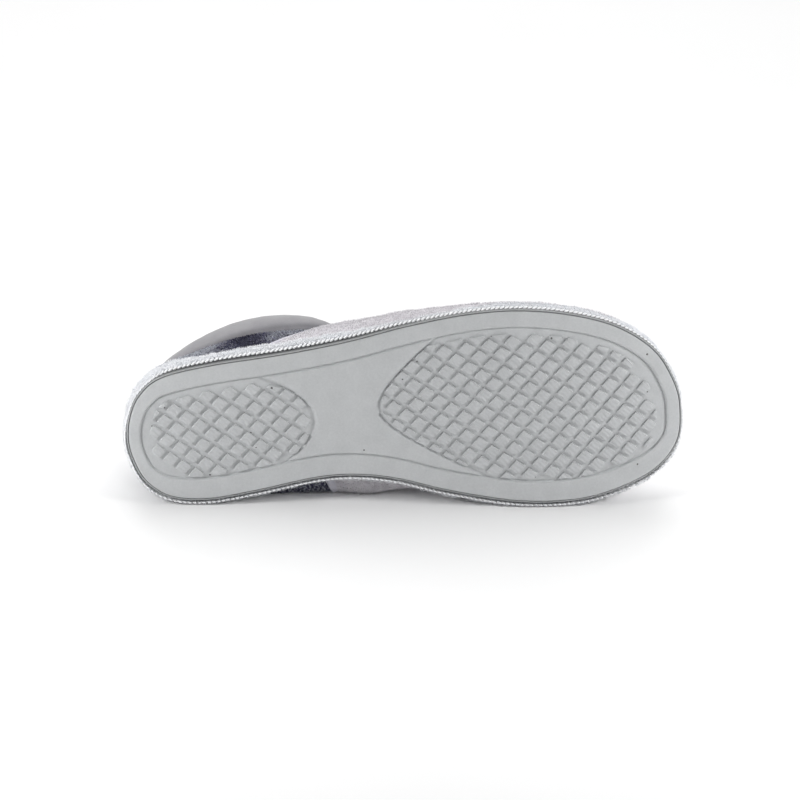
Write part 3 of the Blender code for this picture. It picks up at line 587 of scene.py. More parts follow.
def add_piece(name, points, faces, materials, indices=None, attributes=None):
    """One mesh object on the body, with its materials and point attributes."""
    mesh = bpy.data.meshes.new(name)
    mesh.from_pydata(to_world(points).tolist(), [], [tuple(face) for face in faces])
    for material in materials:
        mesh.materials.append(material)
    if indices is not None:
        mesh.polygons.foreach_set("material_index", np.asarray(indices, dtype=np.int32))
    for key, values in (attributes or {}).items():
        layer = mesh.attributes.new(key, "FLOAT", "POINT")
        layer.data.foreach_set("value", np.asarray(values, dtype=np.float32))
    mesh.shade_smooth()
    mesh.validate()
    mesh.update()
    piece = bpy.data.objects.new(name, mesh)
    bpy.context.scene.collection.objects.link(piece)
    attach(piece, BODY)
    return piece


def ring_faces(count, rows, start=0):
    """Quads between rows of closed rings that follow one another."""
    i = np.arange(count)
    after = (i + 1) % count
    faces = []
    for row in range(rows - 1):
        low, high = start + row * count, start + (row + 1) * count
        faces.append(np.stack([low + i, low + after, high + after, high + i], axis=1))
    return np.vstack(faces)


def strip_faces(ring):
    """Strips across a closed ring of point numbers, from its lateral to its medial half."""
    count = len(ring)
    faces = []
    for i in range(count // 2):
        corners = (ring[i], ring[i + 1], ring[(count - i - 1) % count], ring[(count - i) % count])
        faces.append(tuple(dict.fromkeys(corners)))
    return faces


def oriented(points, faces):
    """Faces turned so that the closed body's volume is positive."""
    points = np.asarray(points)
    volume = 0.0
    for face in faces:
        a = points[face[0]]
        for k in range(1, len(face) - 1):
            volume += np.dot(a, np.cross(points[face[k]], points[face[k + 1]]))
    return faces if volume > 0.0 else [tuple(face)[::-1] for face in faces]


# Materials


def new_material(name, colour, roughness, specular, sheen=0.0, sheen_roughness=0.5):
    """Principled material; constant values sit on the shader's own sockets."""
    material = bpy.data.materials.new(name)
    material.use_nodes = True
    shader = material.node_tree.nodes["Principled BSDF"]
    shader.inputs["Base Color"].default_value = (*colour, 1.0)
    shader.inputs["Roughness"].default_value = roughness
    shader.inputs["Specular IOR Level"].default_value = specular
    shader.inputs["Sheen Weight"].default_value = sheen
    shader.inputs["Sheen Roughness"].default_value = sheen_roughness
    return material, material.node_tree, shader


def add_node(tree, kind, output, inputs=None, **settings):
    """Output of a new node; of its inputs, values are set and other nodes' outputs are linked."""
    node = tree.nodes.new("ShaderNode" + kind)
    for key, value in settings.items():
        setattr(node, key, value)
    for key, value in (inputs or {}).items():
        if isinstance(value, bpy.types.NodeSocket):
            tree.links.new(value, node.inputs[key])
        else:
            node.inputs[key].default_value = value
    return node.outputs[output]


def noise_value(tree, size, detail=3.0):
    """Noise over the piece, with lumps of about the given size in millimetres."""
    place = add_node(tree, "TexCoord", "Object")
    return add_node(tree, "TexNoise", "Fac", {"Vector": place, "Scale": 1.0 / (size * MM), "Detail": detail})


def attribute_value(tree, name):
    return add_node(tree, "Attribute", "Fac", attribute_name=name)


def combine(tree, operation, first, second):
    return add_node(tree, "Math", "Value", {0: first, 1: second}, operation=operation)


def ramp(tree, value, stops):
    """Colours along a value: stops are (place, colour)."""
    node = tree.nodes.new("ShaderNodeValToRGB")
    elements = node.color_ramp.elements
    while len(elements) < len(stops):
        elements.new(0.5)
    for element, (place, colour) in zip(elements, stops):
        element.position = place
        element.color = (*colour, 1.0)
    tree.links.new(value, node.inputs["Fac"])
    return node.outputs["Color"]


def bump(tree, shader, layers):
    """Bumps on the shader's normal: layers are (value, height in millimetres)."""
    below = {}
    for value, height in layers:
        inputs = {"Distance": height * MM, "Strength": 1.0, "Height": value, **below}
        below = {"Normal": add_node(tree, "Bump", "Normal", inputs)}
    tree.links.new(below["Normal"], shader.inputs["Normal"])


def rubber():
    """Pale grey moulded rubber with a fine grain, a hatch on the block tops, and painted shade on its side
    and groove.
    """
    material, tree, shader = new_material("rubber", RUBBER_COLOUR, roughness=0.55, specular=0.35)
    coarse = combine(tree, "MULTIPLY", noise_value(tree, 9.0, 4.0), 0.5)
    fine = combine(tree, "MULTIPLY", noise_value(tree, 0.9, 2.0), 0.5)
    # Painted shade: the rows of the outsole's side and groove are coloured darker
    painted_darkening = combine(tree, "MULTIPLY", attribute_value(tree, "shade"), EDGE_PAINTED_SHADE)
    colour = ramp(tree, combine(tree, "ADD", coarse, fine), RUBBER_STOPS)
    shaded = {0: colour, "Scale": combine(tree, "SUBTRACT", 1.0, painted_darkening)}
    base = add_node(tree, "VectorMath", "Vector", shaded, operation="SCALE")
    tree.links.new(base, shader.inputs["Base Color"])
    place = add_node(tree, "TexCoord", "Object")
    lines = {"Vector": place, "Scale": HATCH_WAVES / (HATCH_PITCH * MM), "Distortion": 2.5, "Detail": 2.0}
    waves = add_node(tree, "TexWave", "Fac", lines, bands_direction="DIAGONAL")
    hatch = combine(tree, "MULTIPLY", waves, attribute_value(tree, "hatch"))
    grain, dents = noise_value(tree, 0.6, 2.0), noise_value(tree, 3.0, 2.0)
    bump(tree, shader, ((grain, 0.05), (dents, 0.08), (hatch, 0.14)))
    return material


def patchy(name, colour, stops, size, roughness, specular):
    """Plain surface whose colour changes a little by patches."""
    material, tree, shader = new_material(name, colour, roughness, specular)
    tree.links.new(ramp(tree, noise_value(tree, size), stops), shader.inputs["Base Color"])
    return material


def cloth(fabric):
    """Soft fabric: colour by patches of noise, and a grain of fine and coarse bumps."""
    material, tree, shader = new_material(fabric.name, fabric.dark, fabric.roughness, specular=0.2,
                                          sheen=fabric.sheen, sheen_roughness=0.6)
    stops = ((0.3, fabric.dark), (0.7, fabric.light))
    tree.links.new(ramp(tree, noise_value(tree, fabric.patch, 4.0), stops), shader.inputs["Base Color"])
    fine, coarse = noise_value(tree, fabric.grain, 2.0), noise_value(tree, fabric.grain * 5.0, 2.0)
    bump(tree, shader, ((fine, fabric.height), (coarse, fabric.height * 2.0)))
    return material


def pile(fur):
    """Fibres: colour by patches of noise and by each fibre's own tint."""
    material, tree, shader = new_material(fur.name, fur.stops[0][1], roughness=0.9, specular=0.15,
                                          sheen=fur.sheen)
    patches = combine(tree, "MULTIPLY", noise_value(tree, fur.patch), 1.0 - fur.by_fibre)
    tint = combine(tree, "MULTIPLY", attribute_value(tree, "tint"), fur.by_fibre)
    tree.links.new(ramp(tree, combine(tree, "ADD", patches, tint), fur.stops), shader.inputs["Base Color"])
    return material


# Outsole


def lip_shift(u):
    """How far the lip lies outside the rows of the outsole's edge."""
    ahead, back, medial, lateral = facing(u)
    sides = (LIP_LATERAL + LIP_LATERAL_TOE * towards_toe(u)) * lateral + LIP_MEDIAL * medial
    return sides + (LIP_TOE * ahead ** 2 + LIP_HEEL_BACK * back)


def border_line(u, inward=0.0, heel=BORDER_HEEL, toe=BORDER_TOE):
    """Inner edge of the smooth border, which is narrower at the toe and the heel back."""
    ahead = SOLE.outward(u)[..., 0]
    width = BORDER_SIDE + (np.where(ahead > 0.0, toe, heel) - BORDER_SIDE) * ahead ** 2
    return SOLE.offset(u, -width - inward)


def heel_tip_x(y, margin=0.0):
    return HEEL_TIP[0] - margin - HEEL_TIP_CURVE * (y - HEEL_TIP[1]) ** 2


def forefoot_tip_x(y, margin=0.0):
    across = FOREFOOT_TIP_SLOPE * (y - FOREFOOT_TIP[1])
    return FOREFOOT_TIP[0] + margin + np.hypot(FOREFOOT_TIP_ROUND, across) - FOREFOOT_TIP_ROUND


def waist_share(plan):
    """1 on the smooth waist, 0 in the tread panels, with a chamfer between."""
    x, y = plan[..., 0], plan[..., 1]
    heel_slope = np.hypot(1.0, 2.0 * HEEL_TIP_CURVE * (y - HEEL_TIP[1]))
    across = FOREFOOT_TIP_SLOPE * (y - FOREFOOT_TIP[1])
    forefoot_slope = np.hypot(1.0, FOREFOOT_TIP_SLOPE * across / np.hypot(FOREFOOT_TIP_ROUND, across))
    past_heel = (x - heel_tip_x(y)) / heel_slope
    before_forefoot = (forefoot_tip_x(y) - x) / forefoot_slope
    return np.interp(past_heel, *zip(*TIP_EDGE)) * np.interp(before_forefoot, *zip(*TIP_EDGE))


def tread_panel(tip_x, keeps):
    """Convex outline of the space that one panel's blocks fill, counter-clockwise."""
    u = ring_params(PANEL_STEPS)
    medial = facing(u)[2]
    margin = MARGIN_LATERAL + (MARGIN_MEDIAL - MARGIN_LATERAL) * medial
    border = border_line(u, margin, BLOCK_BORDER_END, BLOCK_BORDER_END)
    kept = keeps(border[:, 0], tip_x(border[:, 1], TIP_MARGIN))
    count = len(border)
    start = next(i for i in range(count) if kept[i] and not kept[i - 1])
    run = []
    for i in range(start, start + count):
        if not kept[i % count]:
            break
        run.append(tuple(border[i % count]))
    tip_y = np.linspace(run[-1][1], run[0][1], TIP_STEPS)[1:-1]
    return run + [(tip_x(y, TIP_MARGIN), y) for y in tip_y]


def clip_to_panel(polygon, panel):
    """Part of a polygon inside a convex panel (Sutherland-Hodgman)."""
    for (ax, ay), (bx, by) in zip(panel, panel[1:] + panel[:1]):
        sides = [(bx - ax) * (y - ay) - (by - ay) * (x - ax) for x, y in polygon]
        clipped = []
        for k, here in enumerate(polygon):
            after = polygon[(k + 1) % len(polygon)]
            d_here, d_after = sides[k], sides[(k + 1) % len(polygon)]
            if d_here >= 0.0:
                clipped.append(here)
            if d_here * d_after < 0.0:
                t = d_here / (d_here - d_after)
                clipped.append((here[0] + t * (after[0] - here[0]), here[1] + t * (after[1] - here[1])))
        polygon = clipped
        if not polygon:
            break
    return polygon


def polygon_area(polygon):
    pairs = zip(polygon, polygon[1:] + polygon[:1])
    return 0.5 * abs(sum(ax * by - bx * ay for (ax, ay), (bx, by) in pairs))


def without_short_edges(polygon):
    kept = []
    for point in polygon:
        if not kept or math.dist(point, kept[-1]) > BLOCK_MIN_EDGE:
            kept.append(point)
    if len(kept) > 1 and math.dist(kept[0], kept[-1]) <= BLOCK_MIN_EDGE:
        kept.pop()
    return kept


def tread_blocks():
    """Diamond blocks of both panels, cut off at the edge of their panel."""
    panels = (
        tread_panel(heel_tip_x, lambda x, tip: x < tip),
        tread_panel(forefoot_tip_x, lambda x, tip: x > tip),
    )
    half_x = BLOCK_FILL * BLOCK_PITCH_X / 2.0
    half_y = BLOCK_FILL * BLOCK_PITCH_Y / 2.0
    low_x, low_y = SOLE.points.min(axis=0)
    high_x, high_y = SOLE.points.max(axis=0)
    rows = [round(2.0 * (y - BLOCK_START[1]) / BLOCK_PITCH_Y) for y in (low_y, high_y)]
    places = [round((x - BLOCK_START[0]) / BLOCK_PITCH_X) for x in (low_x, high_x)]
    blocks = []
    for row in range(rows[0], rows[1] + 1):
        y = BLOCK_START[1] + row * BLOCK_PITCH_Y / 2.0
        for place in range(places[0] - 1, places[1] + 1):
            x = BLOCK_START[0] + (place + (row % 2) / 2.0) * BLOCK_PITCH_X
            diamond = [(x - half_x, y), (x, y - half_y), (x + half_x, y), (x, y + half_y)]
            for panel in panels:
                block = without_short_edges(clip_to_panel(diamond, panel))
                if len(block) > 2 and polygon_area(block) > BLOCK_MIN_AREA:
                    blocks.append(block)
    return blocks


def inset_polygon(polygon, distance):
    """Convex counter-clockwise polygon with every side moved in by a distance."""
    points = np.array(polygon)
    edges = unit(np.roll(points, -1, axis=0) - points)
    inward = np.stack([-edges[:, 1], edges[:, 0]], axis=1)
    before = np.roll(inward, 1, axis=0)
    scale = distance / (1.0 + np.sum(inward * before, axis=1))
    return points + (inward + before) * scale[:, None]


def block_meshes(start):
    """Points, faces and hatch share of all tread blocks, each with a draft and rounded top edges."""
    points, faces, hatch = [], [], []
    for block in tread_blocks():
        count = len(block)
        rings = [standing(inset_polygon(block, row.inset), row.height) for row in BLOCK_EDGE]
        first = start + sum(len(p) for p in points)
        points.append(np.vstack(rings))
        quads = ring_faces(count, len(BLOCK_EDGE), first)[:, ::-1]
        last = first + count * (len(BLOCK_EDGE) - 1)
        faces.extend(map(tuple, quads))
        faces.append(tuple(range(last, last + count))[::-1])
        faces.append(tuple(range(first, first + count)))
        hatch.extend([0.0] * count * (len(BLOCK_EDGE) - 2) + [1.0] * count * 2)
    return np.vstack(points), faces, hatch


def make_outsole():
    """Rubber unit: lip, smooth border, waist and panel floors in one skin, with the blocks set into it."""
    u = ring_params()
    count = len(u)
    rings = []
    for row in OUTSOLE_EDGE:
        follows = 1.0 - ease(-row.offset, *LIP_FADE)
        rings.append(standing(SOLE.offset(u, row.offset + lip_shift(u) * follows), row.height))
    for row in BORDER_STEP:
        plan = border_line(u, row.distance)
        waist = waist_share(plan)
        rings.append(standing(plan, row.panel + (row.waist - row.panel) * waist))
    inner = border_line(u, BORDER_STEP[-1].distance)
    points = [np.vstack(rings)]
    rows = len(rings)
    faces = [tuple(face) for face in ring_faces(count, rows)]
    faces += strip_faces(list(range(count)))
    total = count * rows
    half = count // 2
    edge = (rows - 1) * count
    columns = [[edge]]
    share = np.linspace(0.0, 1.0, ACROSS_STEPS + 1)[1:-1, None]
    for i in range(1, half):
        plan = inner[i] + (inner[count - i] - inner[i]) * share
        points.append(standing(plan, TREAD_DEPTH * (1.0 - waist_share(plan))))
        numbers = list(range(total, total + len(plan)))
        total += len(plan)
        columns.append([edge + i] + numbers + [edge + count - i])
    columns.append([edge + half])
    for here, after in zip(columns, columns[1:]):
        if len(here) == 1 or len(after) == 1:
            pole, line = (here[0], after) if len(here) == 1 else (after[0], here)
            fan = [(pole, a, b) for a, b in zip(line, line[1:])]
            faces += fan if len(here) == 1 else [face[::-1] for face in fan]
            continue
        for k in range(len(here) - 1):
            faces.append((here[k], after[k], after[k + 1], here[k + 1]))
    skin = np.vstack(points)
    faces = oriented(skin, consistent(skin, faces))
    blocks, block_faces, hatch = block_meshes(len(skin))
    tops = np.concatenate([np.zeros(len(skin)), hatch])
    # Painted shade: how much darker the rows of the outsole's side and groove are coloured
    shade = np.zeros(len(tops))
    shade[:count * len(OUTSOLE_EDGE)] = np.repeat([row.shade for row in OUTSOLE_EDGE], count)
    points = np.vstack([skin, blocks])
    piece = add_piece("outsole_rubber", points, faces + block_faces, [rubber()],
                      attributes={"hatch": tops, "shade": shade})
    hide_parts("outsole")


def consistent(points, faces):
    """Faces turned to agree with their neighbours."""
    mesh = bpy.data.meshes.new("turning")
    mesh.from_pydata(points.tolist(), [], faces)
    mesh_data = bmesh.new()
    mesh_data.from_mesh(mesh)
    bmesh.ops.recalc_face_normals(mesh_data, faces=mesh_data.faces)
    mesh_data.to_mesh(mesh)
    mesh_data.free()
    turned = [tuple(polygon.vertices) for polygon in mesh.polygons]
    bpy.data.meshes.remove(mesh)
    return turned


def surface_height(x, y, probe=0.1, step_width=1.0):
    """Height of the tread's relief: border, waist and block tops are level, panel floors deeper."""
    around = [(x - probe, y), (x, y - probe), (x + probe, y), (x, y + probe)]
    if any(polygon_area(clip_to_panel(around, block)) > 0.0 for block in tread_blocks()):
        return 0.0
    plan = np.array([x, y])
    inner = border_line(ring_params())
    gap = np.linalg.norm(inner - plan, axis=1).min()
    crossings = sum(
        (a[1] > y) != (b[1] > y) and x < a[0] + (y - a[1]) / (b[1] - a[1]) * (b[0] - a[0])
        for a, b in zip(inner, np.roll(inner, -1, axis=0))
    )
    if crossings % 2 == 0:
        return 0.0
    return float(TREAD_DEPTH * (1.0 - waist_share(plan)) * ease(gap, 0.0, step_width))


def make_specks():
    """Thin dark specks pressed on the tread."""
    angles = np.arange(SPECK_SIDES) * 2.0 * math.pi / SPECK_SIDES
    circle = np.stack([np.cos(angles), np.sin(angles)], axis=1)
    points, faces = [], []
    for speck in SPECKS:
        first = len(points) * SPECK_SIDES
        plan = circle * speck.radius + np.array([speck.x, speck.y])
        height = surface_height(speck.x, speck.y)
        low, high = standing(plan, height - SPECK_LIFT), standing(plan, height + SPECK_LIFT)
        points += [low, high]
        ring = first + np.arange(SPECK_SIDES)
        faces += [tuple(ring[::-1]), tuple(ring + SPECK_SIDES)]
        faces += [tuple(face) for face in ring_faces(SPECK_SIDES, 2, first)]
    dirt = patchy("speck", SPECK_COLOUR, SPECK_STOPS, size=0.8, roughness=0.9, specular=0.5)
    add_piece("tread_specks", np.vstack(points), faces, [dirt])


# Pile and surfaces


Surface = namedtuple("Surface", "points normals triangles")


def mesh_normals(points, faces):
    """Smooth normals of a mesh in the shoe frame."""
    mesh = bpy.data.meshes.new("normals")
    mesh.from_pydata(np.asarray(points).tolist(), [], [tuple(face) for face in faces])
    found = np.zeros(len(points) * 3, dtype=np.float32)
    mesh.vertex_normals.foreach_get("vector", found)
    bpy.data.meshes.remove(mesh)
    return found.reshape(-1, 3).astype(float)


def triangles_of(faces):
    found = []
    for face in faces:
        found += [(face[0], face[k], face[k + 1]) for k in range(1, len(face) - 1)]
    return np.array(found)


def scatter(surface, count, rng):
    """Places spread evenly over a surface, with their normals."""
    corners = surface.points[surface.triangles]
    areas = np.linalg.norm(np.cross(corners[:, 1] - corners[:, 0], corners[:, 2] - corners[:, 0]), axis=1)
    picks = rng.choice(len(areas), size=count, p=areas / areas.sum())
    a, b = rng.random((2, count))
    over = a + b > 1.0
    a, b = np.where(over, 1.0 - a, a), np.where(over, 1.0 - b, b)
    weights = np.stack([1.0 - a - b, a, b], axis=1)[:, :, None]
    places = (corners[picks] * weights).sum(axis=1)
    normals = (surface.normals[surface.triangles[picks]] * weights).sum(axis=1)
    return places, unit(normals)


def grow_pile(name, surface, kind, fur, tone_and_shading=None):
    """Tapered fibres on a surface as one mesh: each leans with the comb and a little at random."""
    rng = np.random.default_rng(kind.seed)
    roots, normals = scatter(surface, kind.count, rng)
    stray = rng.normal(size=roots.shape) * kind.scatter
    lean = np.array(kind.comb) * kind.lean + stray
    lean = lean - normals * np.sum(lean * normals, axis=1)[:, None]
    length = kind.length * rng.uniform(*LENGTH_RANGE, kind.count)[:, None]
    width = kind.width * rng.uniform(*WIDTH_RANGE, kind.count)[:, None]
    side = unit(np.cross(normals, unit(rng.normal(size=roots.shape))))
    other = np.cross(normals, side)
    rings = []
    for share, wide in kind.levels:
        bent = roots + (normals * share + lean * share ** 2) * length
        middle = bent - normals * ROOT_DEPTH * (1.0 - share)
        for k in range(FIBRE_SIDES):
            angle = 2.0 * math.pi * k / FIBRE_SIDES
            rings.append(middle + (side * math.cos(angle) + other * math.sin(angle)) * width * wide / 2.0)
    tips = roots + unit(normals + lean) * length
    per_fibre = len(rings) + 1
    points = np.stack(rings + [tips], axis=1).reshape(-1, 3)
    pattern = [(0, 2, 1)]
    top = (len(kind.levels) - 1) * FIBRE_SIDES
    for low in range(0, top, FIBRE_SIDES):
        high = low + FIBRE_SIDES
        for k in range(FIBRE_SIDES):
            after = (k + 1) % FIBRE_SIDES
            pattern += [(low + k, low + after, high + after), (low + k, high + after, high + k)]
    pattern += [(top + k, top + (k + 1) % FIBRE_SIDES, per_fibre - 1) for k in range(FIBRE_SIDES)]
    starts = np.arange(kind.count)[:, None, None] * per_fibre
    faces = (np.array(pattern)[None] + starts).reshape(-1, 3)
    tint = rng.random(kind.count)
    # Where a tone table is given, fibres are tinted along the shoe: the fur's own tone with painted shade
    # and painted light
    if tone_and_shading is not None:
        blur = rng.normal(size=kind.count) * TONE_AND_SHADING_BLUR
        along = roots[:, 0] + blur + lumps(roots, TONE_AND_SHADING_LUMP) * 2.0 * TONE_AND_SHADING_BLUR
        tint = tint * (1.0 - TONE_AND_SHADING_SHARE) + TONE_AND_SHADING_SHARE * np.interp(along, *zip(*tone_and_shading))
    tint = np.repeat(tint, per_fibre)
    add_piece(name, points, faces.tolist(), [pile(fur)], attributes={"tint": tint})


# Platform


def plush_swell(u):
    """How far the plush stands out from the outline."""
    back, medial, lateral = facing(u)[1:]
    toe = PLUSH_SWELL_LATERAL_TOE * lateral * towards_toe(u)
    corner = PLUSH_SWELL_HEEL_CORNER * back * lateral
    return PLUSH_SWELL + PLUSH_SWELL_MEDIAL * medial - toe - PLUSH_SWELL_HEEL_BACK * back - corner


def sole_layer(profile, base_offset, bottom, top, hang=0.0, sink=0.0):
    """Rings of a layer that follows the outline: profile rows give its edge from the bottom to the top."""
    u = ring_params()
    swell = plush_swell(u)
    places = np.linspace(0.0, len(profile) - 1.0, (len(profile) - 1) * PROFILE_SAMPLES + 1)
    rings = []
    for row in table_at(profile, places):
        row = profile[0]._make(row)
        sinks = sink * ease(row.rise, *SINK_RISE) * (1.0 - ease(-row.offset, *SINK_OFFSET))
        plan = SOLE.offset(u, base_offset + row.offset + row.swell * swell - PLUSH_SINK_IN * sinks)
        low, high = bottom(plan[:, 0]), top(plan[:, 0])
        hangs = ease(row.swell, *HANG_SWELL) * (1.0 - ease(row.rise, *HANG_RISE))
        rings.append(standing(plan, low + (high - low) * row.rise - hang * hangs - sinks))
    return rings


def closed_layer(rings):
    """Points and faces of a stack of rings closed by strips across, and the faces of its side."""
    count, rows = len(rings[0]), len(rings)
    points = np.vstack(rings)
    sides = ring_faces(count, rows)
    faces = [tuple(face) for face in sides]
    faces += [face[::-1] for face in strip_faces(list(range(count)))]
    faces += strip_faces(list(range(count * (rows - 1), count * rows)))
    return points, oriented(points, faces), sides


def all_lumps(points, rows):
    """Lumps of all the sizes in a table together, in millimetres."""
    return sum(lumps(points, row.size, row.seed) * row.out for row in rows)


def make_platform():
    """Plush-wrapped wedge with a short dense pile on its edge."""
    u = ring_params()
    medial, lateral = facing(u)[2:]
    hang = PLUSH_HANG + PLUSH_HANG_MEDIAL * medial
    sink = np.interp(SOLE.point(u)[:, 0], *zip(*PLUSH_SINK)) * lateral
    rings = sole_layer(PLATFORM_PROFILE, 0.0, lambda x: np.full_like(x, OUTSOLE_THICK + GAP), platform_top,
                       hang, sink)
    points, faces, sides = closed_layer(rings)
    normals = mesh_normals(points, faces)
    points = points + normals * all_lumps(points, PLUSH_LUMPS)[:, None]
    piece = add_piece("platform_plush", points, faces, [cloth(PLUSH_BACKING)])
    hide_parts("platform")
    edge = triangles_of(sides[len(rings[0]):-len(rings[0]) * PROFILE_SAMPLES])
    grow_pile("platform_pile", Surface(points, normals, edge), PLUSH_PILE, PLUSH_FUR)


def ellipsoid(rings=5, sides=8):
    """Points and triangles of a unit ball."""
    points = [(0.0, 0.0, -1.0)]
    for r in range(1, rings):
        polar = math.pi * r / rings
        for s in range(sides):
            angle = 2.0 * math.pi * s / sides
            wide = math.sin(polar)
            points.append((wide * math.cos(angle), wide * math.sin(angle), -math.cos(polar)))
    points.append((0.0, 0.0, 1.0))
    last = len(points) - 1
    faces = []
    for s in range(sides):
        after = (s + 1) % sides
        faces.append((0, 1 + after, 1 + s))
        top = 1 + (rings - 2) * sides
        faces.append((last, top + s, top + after))
        for r in range(rings - 2):
            low, high = 1 + r * sides, 1 + (r + 1) * sides
            faces.append((low + s, low + after, high + after))
            faces.append((low + s, high + after, high + s))
    return np.array(points), np.array(faces)


def stitch_mesh(centres, along, out, size):
    """One mesh of thread lobes: each is a ball stretched along its thread."""
    ball, triangles = ellipsoid()
    side = unit(np.cross(along, out))
    axes = np.stack([unit(np.cross(side, along)), side, unit(along)], axis=1)
    points = centres[:, None, :] + np.einsum("pk,nkc->npc", ball * np.array(size), axes)
    starts = np.arange(len(centres))[:, None, None] * len(ball)
    return points.reshape(-1, 3), (triangles[None] + starts).reshape(-1, 3)


def make_whip_stitch():
    """Slanted white threads all around the joint of plush and outsole."""
    count = int(SOLE.length / STITCH_PITCH)
    u = np.arange(count) / count
    medial, lateral = facing(u)[2:]
    raised = STITCH_OUT + STITCH_OUT_MEDIAL * medial + STITCH_OUT_LATERAL * lateral
    plan = SOLE.offset(u, plush_swell(u) * STITCH_SWELL + raised)
    centres = standing(plan, STITCH_HEIGHT - STITCH_HANG_MEDIAL * medial)
    slant = math.radians(STITCH_SLANT)
    tangent = np.concatenate([SOLE.tangent(u), np.zeros((count, 1))], axis=1)
    out = np.concatenate([SOLE.outward(u), np.zeros((count, 1))], axis=1)
    along = tangent * math.cos(slant) + np.array([0.0, 0.0, 1.0]) * math.sin(slant)
    points, faces = stitch_mesh(centres, along, out, (STITCH_WIDE * STITCH_FLAT, STITCH_WIDE, STITCH_LONG))
    add_piece("whip_stitch", points, faces.tolist(), [cloth(THREAD)])


# Upper


def side_places():
    """Places along one side, 0 at the heel back and TOE at the toe, close together at the vamp's edge."""
    coarse = np.arange(TOE * COLUMNS_PER_ROW + 1) / COLUMNS_PER_ROW
    edge = VAMP_EDGE_ROW + np.array([row.distance for row in FOLD]) / ROW_LENGTH
    return np.unique(np.concatenate([coarse, edge]).round(6))


def sag_shape(heights):
    """Share of the sag at each height: most of it low on the wall."""
    steps = np.sin(np.pi * (np.arange(SAG_STEPS + 1) / SAG_STEPS) ** SAG_SKEW) ** 2
    return table_at(steps[:, None], heights * SAG_STEPS)[:, 0]


def slanted(side, place, height):
    """Place in the tables of a point on a column: columns beside the vamp's edge follow its slant."""
    near = ease(place, VAMP_EDGE_ROW - SLANT_BEHIND_TOP, VAMP_EDGE_ROW)
    near = near * (1.0 - ease(place, VAMP_EDGE_ROW, THROAT))
    wide = ease(place, VAMP_EDGE_ROW - SLANT_BEHIND, VAMP_EDGE_ROW)
    wide = wide * (1.0 - ease(place, VAMP_EDGE_ROW, THROAT + SLANT_AHEAD))
    at_top = ease(height, *BACK_HEIGHTS)
    middle = EDGE_SHIFT_MIDDLE * ease(height, *MIDDLE_HEIGHTS)
    shift = middle + EDGE_SHIFT_UPPER * ease(height, *UPPER_HEIGHTS)
    top = (shift - EDGE_SHIFT_BACK * at_top) * (wide + (near - wide) * at_top)
    low = EDGE_SHIFT_MEDIAL * (1.0 - ease(height, *MEDIAL_HEIGHTS)) * wide
    return place + top + (side == MEDIAL) * low


def wall_points(side, places, heights):
    """Points of the smooth wall at pairs of a place and a height, 0 at the platform and 1 at the top."""
    quarter = table_at(QUARTER, np.minimum(places, THROAT), QUARTER_BEFORE, QUARTER_AFTER).T
    vamp_place = np.clip(places - THROAT, 0.0, len(VAMP) - 1)
    vamp = table_at(VAMP, vamp_place).T
    ridge = table_at(VAMP[:RIDGE_END_ROW + 1], np.minimum(vamp_place, RIDGE_END_ROW)).T
    on_vamp = places > THROAT
    share = np.where(on_vamp, vamp[0], quarter[0])
    top_y = np.where(on_vamp, ridge[2], CENTRE_LINE + side * quarter[2])
    top = np.stack([np.where(on_vamp, ridge[1], quarter[1]), top_y], axis=1)
    top_height = np.where(on_vamp, ridge[3], quarter[3])
    turn = np.radians(np.where(on_vamp, VAMP_TURN, quarter[4]))
    column = (0, 1)[side == MEDIAL]
    bulge = np.where(on_vamp, vamp[4 + column], quarter[5 + column])
    sag = (side == MEDIAL) * np.where(on_vamp, vamp[6], quarter[7]) * sag_shape(heights)
    u = SOLE.around(side, share)
    outward, tangent = SOLE.outward(u), SOLE.tangent(u)
    foot = SOLE.offset(u, -FEATHER_INSET)
    run = top - foot
    lean = (1.0 - np.cos(turn * heights)) / (1.0 - np.cos(turn))
    climb = np.sin(turn * heights) / np.sin(turn)
    out = np.sum(run * outward, axis=1) * lean + bulge * np.sin(np.pi * heights) + sag
    ahead = np.sum(run * tangent, axis=1) * climb
    plan = foot + outward * out[:, None] + tangent * ahead[:, None]
    foot_height = platform_top(foot[:, 0]) + GAP
    return standing(plan, foot_height + (top_height - foot_height) * climb - SAG_DROP * sag)


Wall = namedtuple("Wall", "points normals side place height numbers open_top")


def make_wall():
    """The wall's smooth outer skin around the whole shoe, with one number for each point."""
    places = side_places()
    heights = np.linspace(0.0, 1.0, WALL_STEPS + 1)
    columns = len(places)
    grid_place, grid_height = (values.ravel() for values in np.meshgrid(places, heights, indexing="ij"))
    both = []
    for sign in (LATERAL, MEDIAL):
        found = wall_points(sign, slanted(sign, grid_place, grid_height), grid_height)
        both.append(found.reshape(columns, len(heights), 3))
    grid = np.concatenate([both[0], both[1][-2:0:-1]])
    side = np.concatenate([np.full(columns, LATERAL), np.full(columns - 2, MEDIAL)])
    place = np.concatenate([places, places[-2:0:-1]])
    count, rows = grid.shape[:2]
    numbers = np.arange(count * rows).reshape(count, rows)
    lateral_of = np.concatenate([np.arange(columns), np.arange(columns - 2, 0, -1)])
    pole = int(np.searchsorted(places, THROAT + RIDGE_END_ROW))
    on_ridge = place >= THROAT
    numbers[on_ridge, -1] = numbers[np.minimum(lateral_of, pole), -1][on_ridge]
    flat = grid.reshape(-1, 3)
    normals = mesh_normals(flat, wall_faces(numbers))
    if np.sum(normals * (flat - flat.mean(axis=0))) < 0.0:
        normals = -normals
    return Wall(flat, normals, np.repeat(side, rows), np.repeat(place, rows), np.tile(heights, count),
                numbers, place < THROAT)


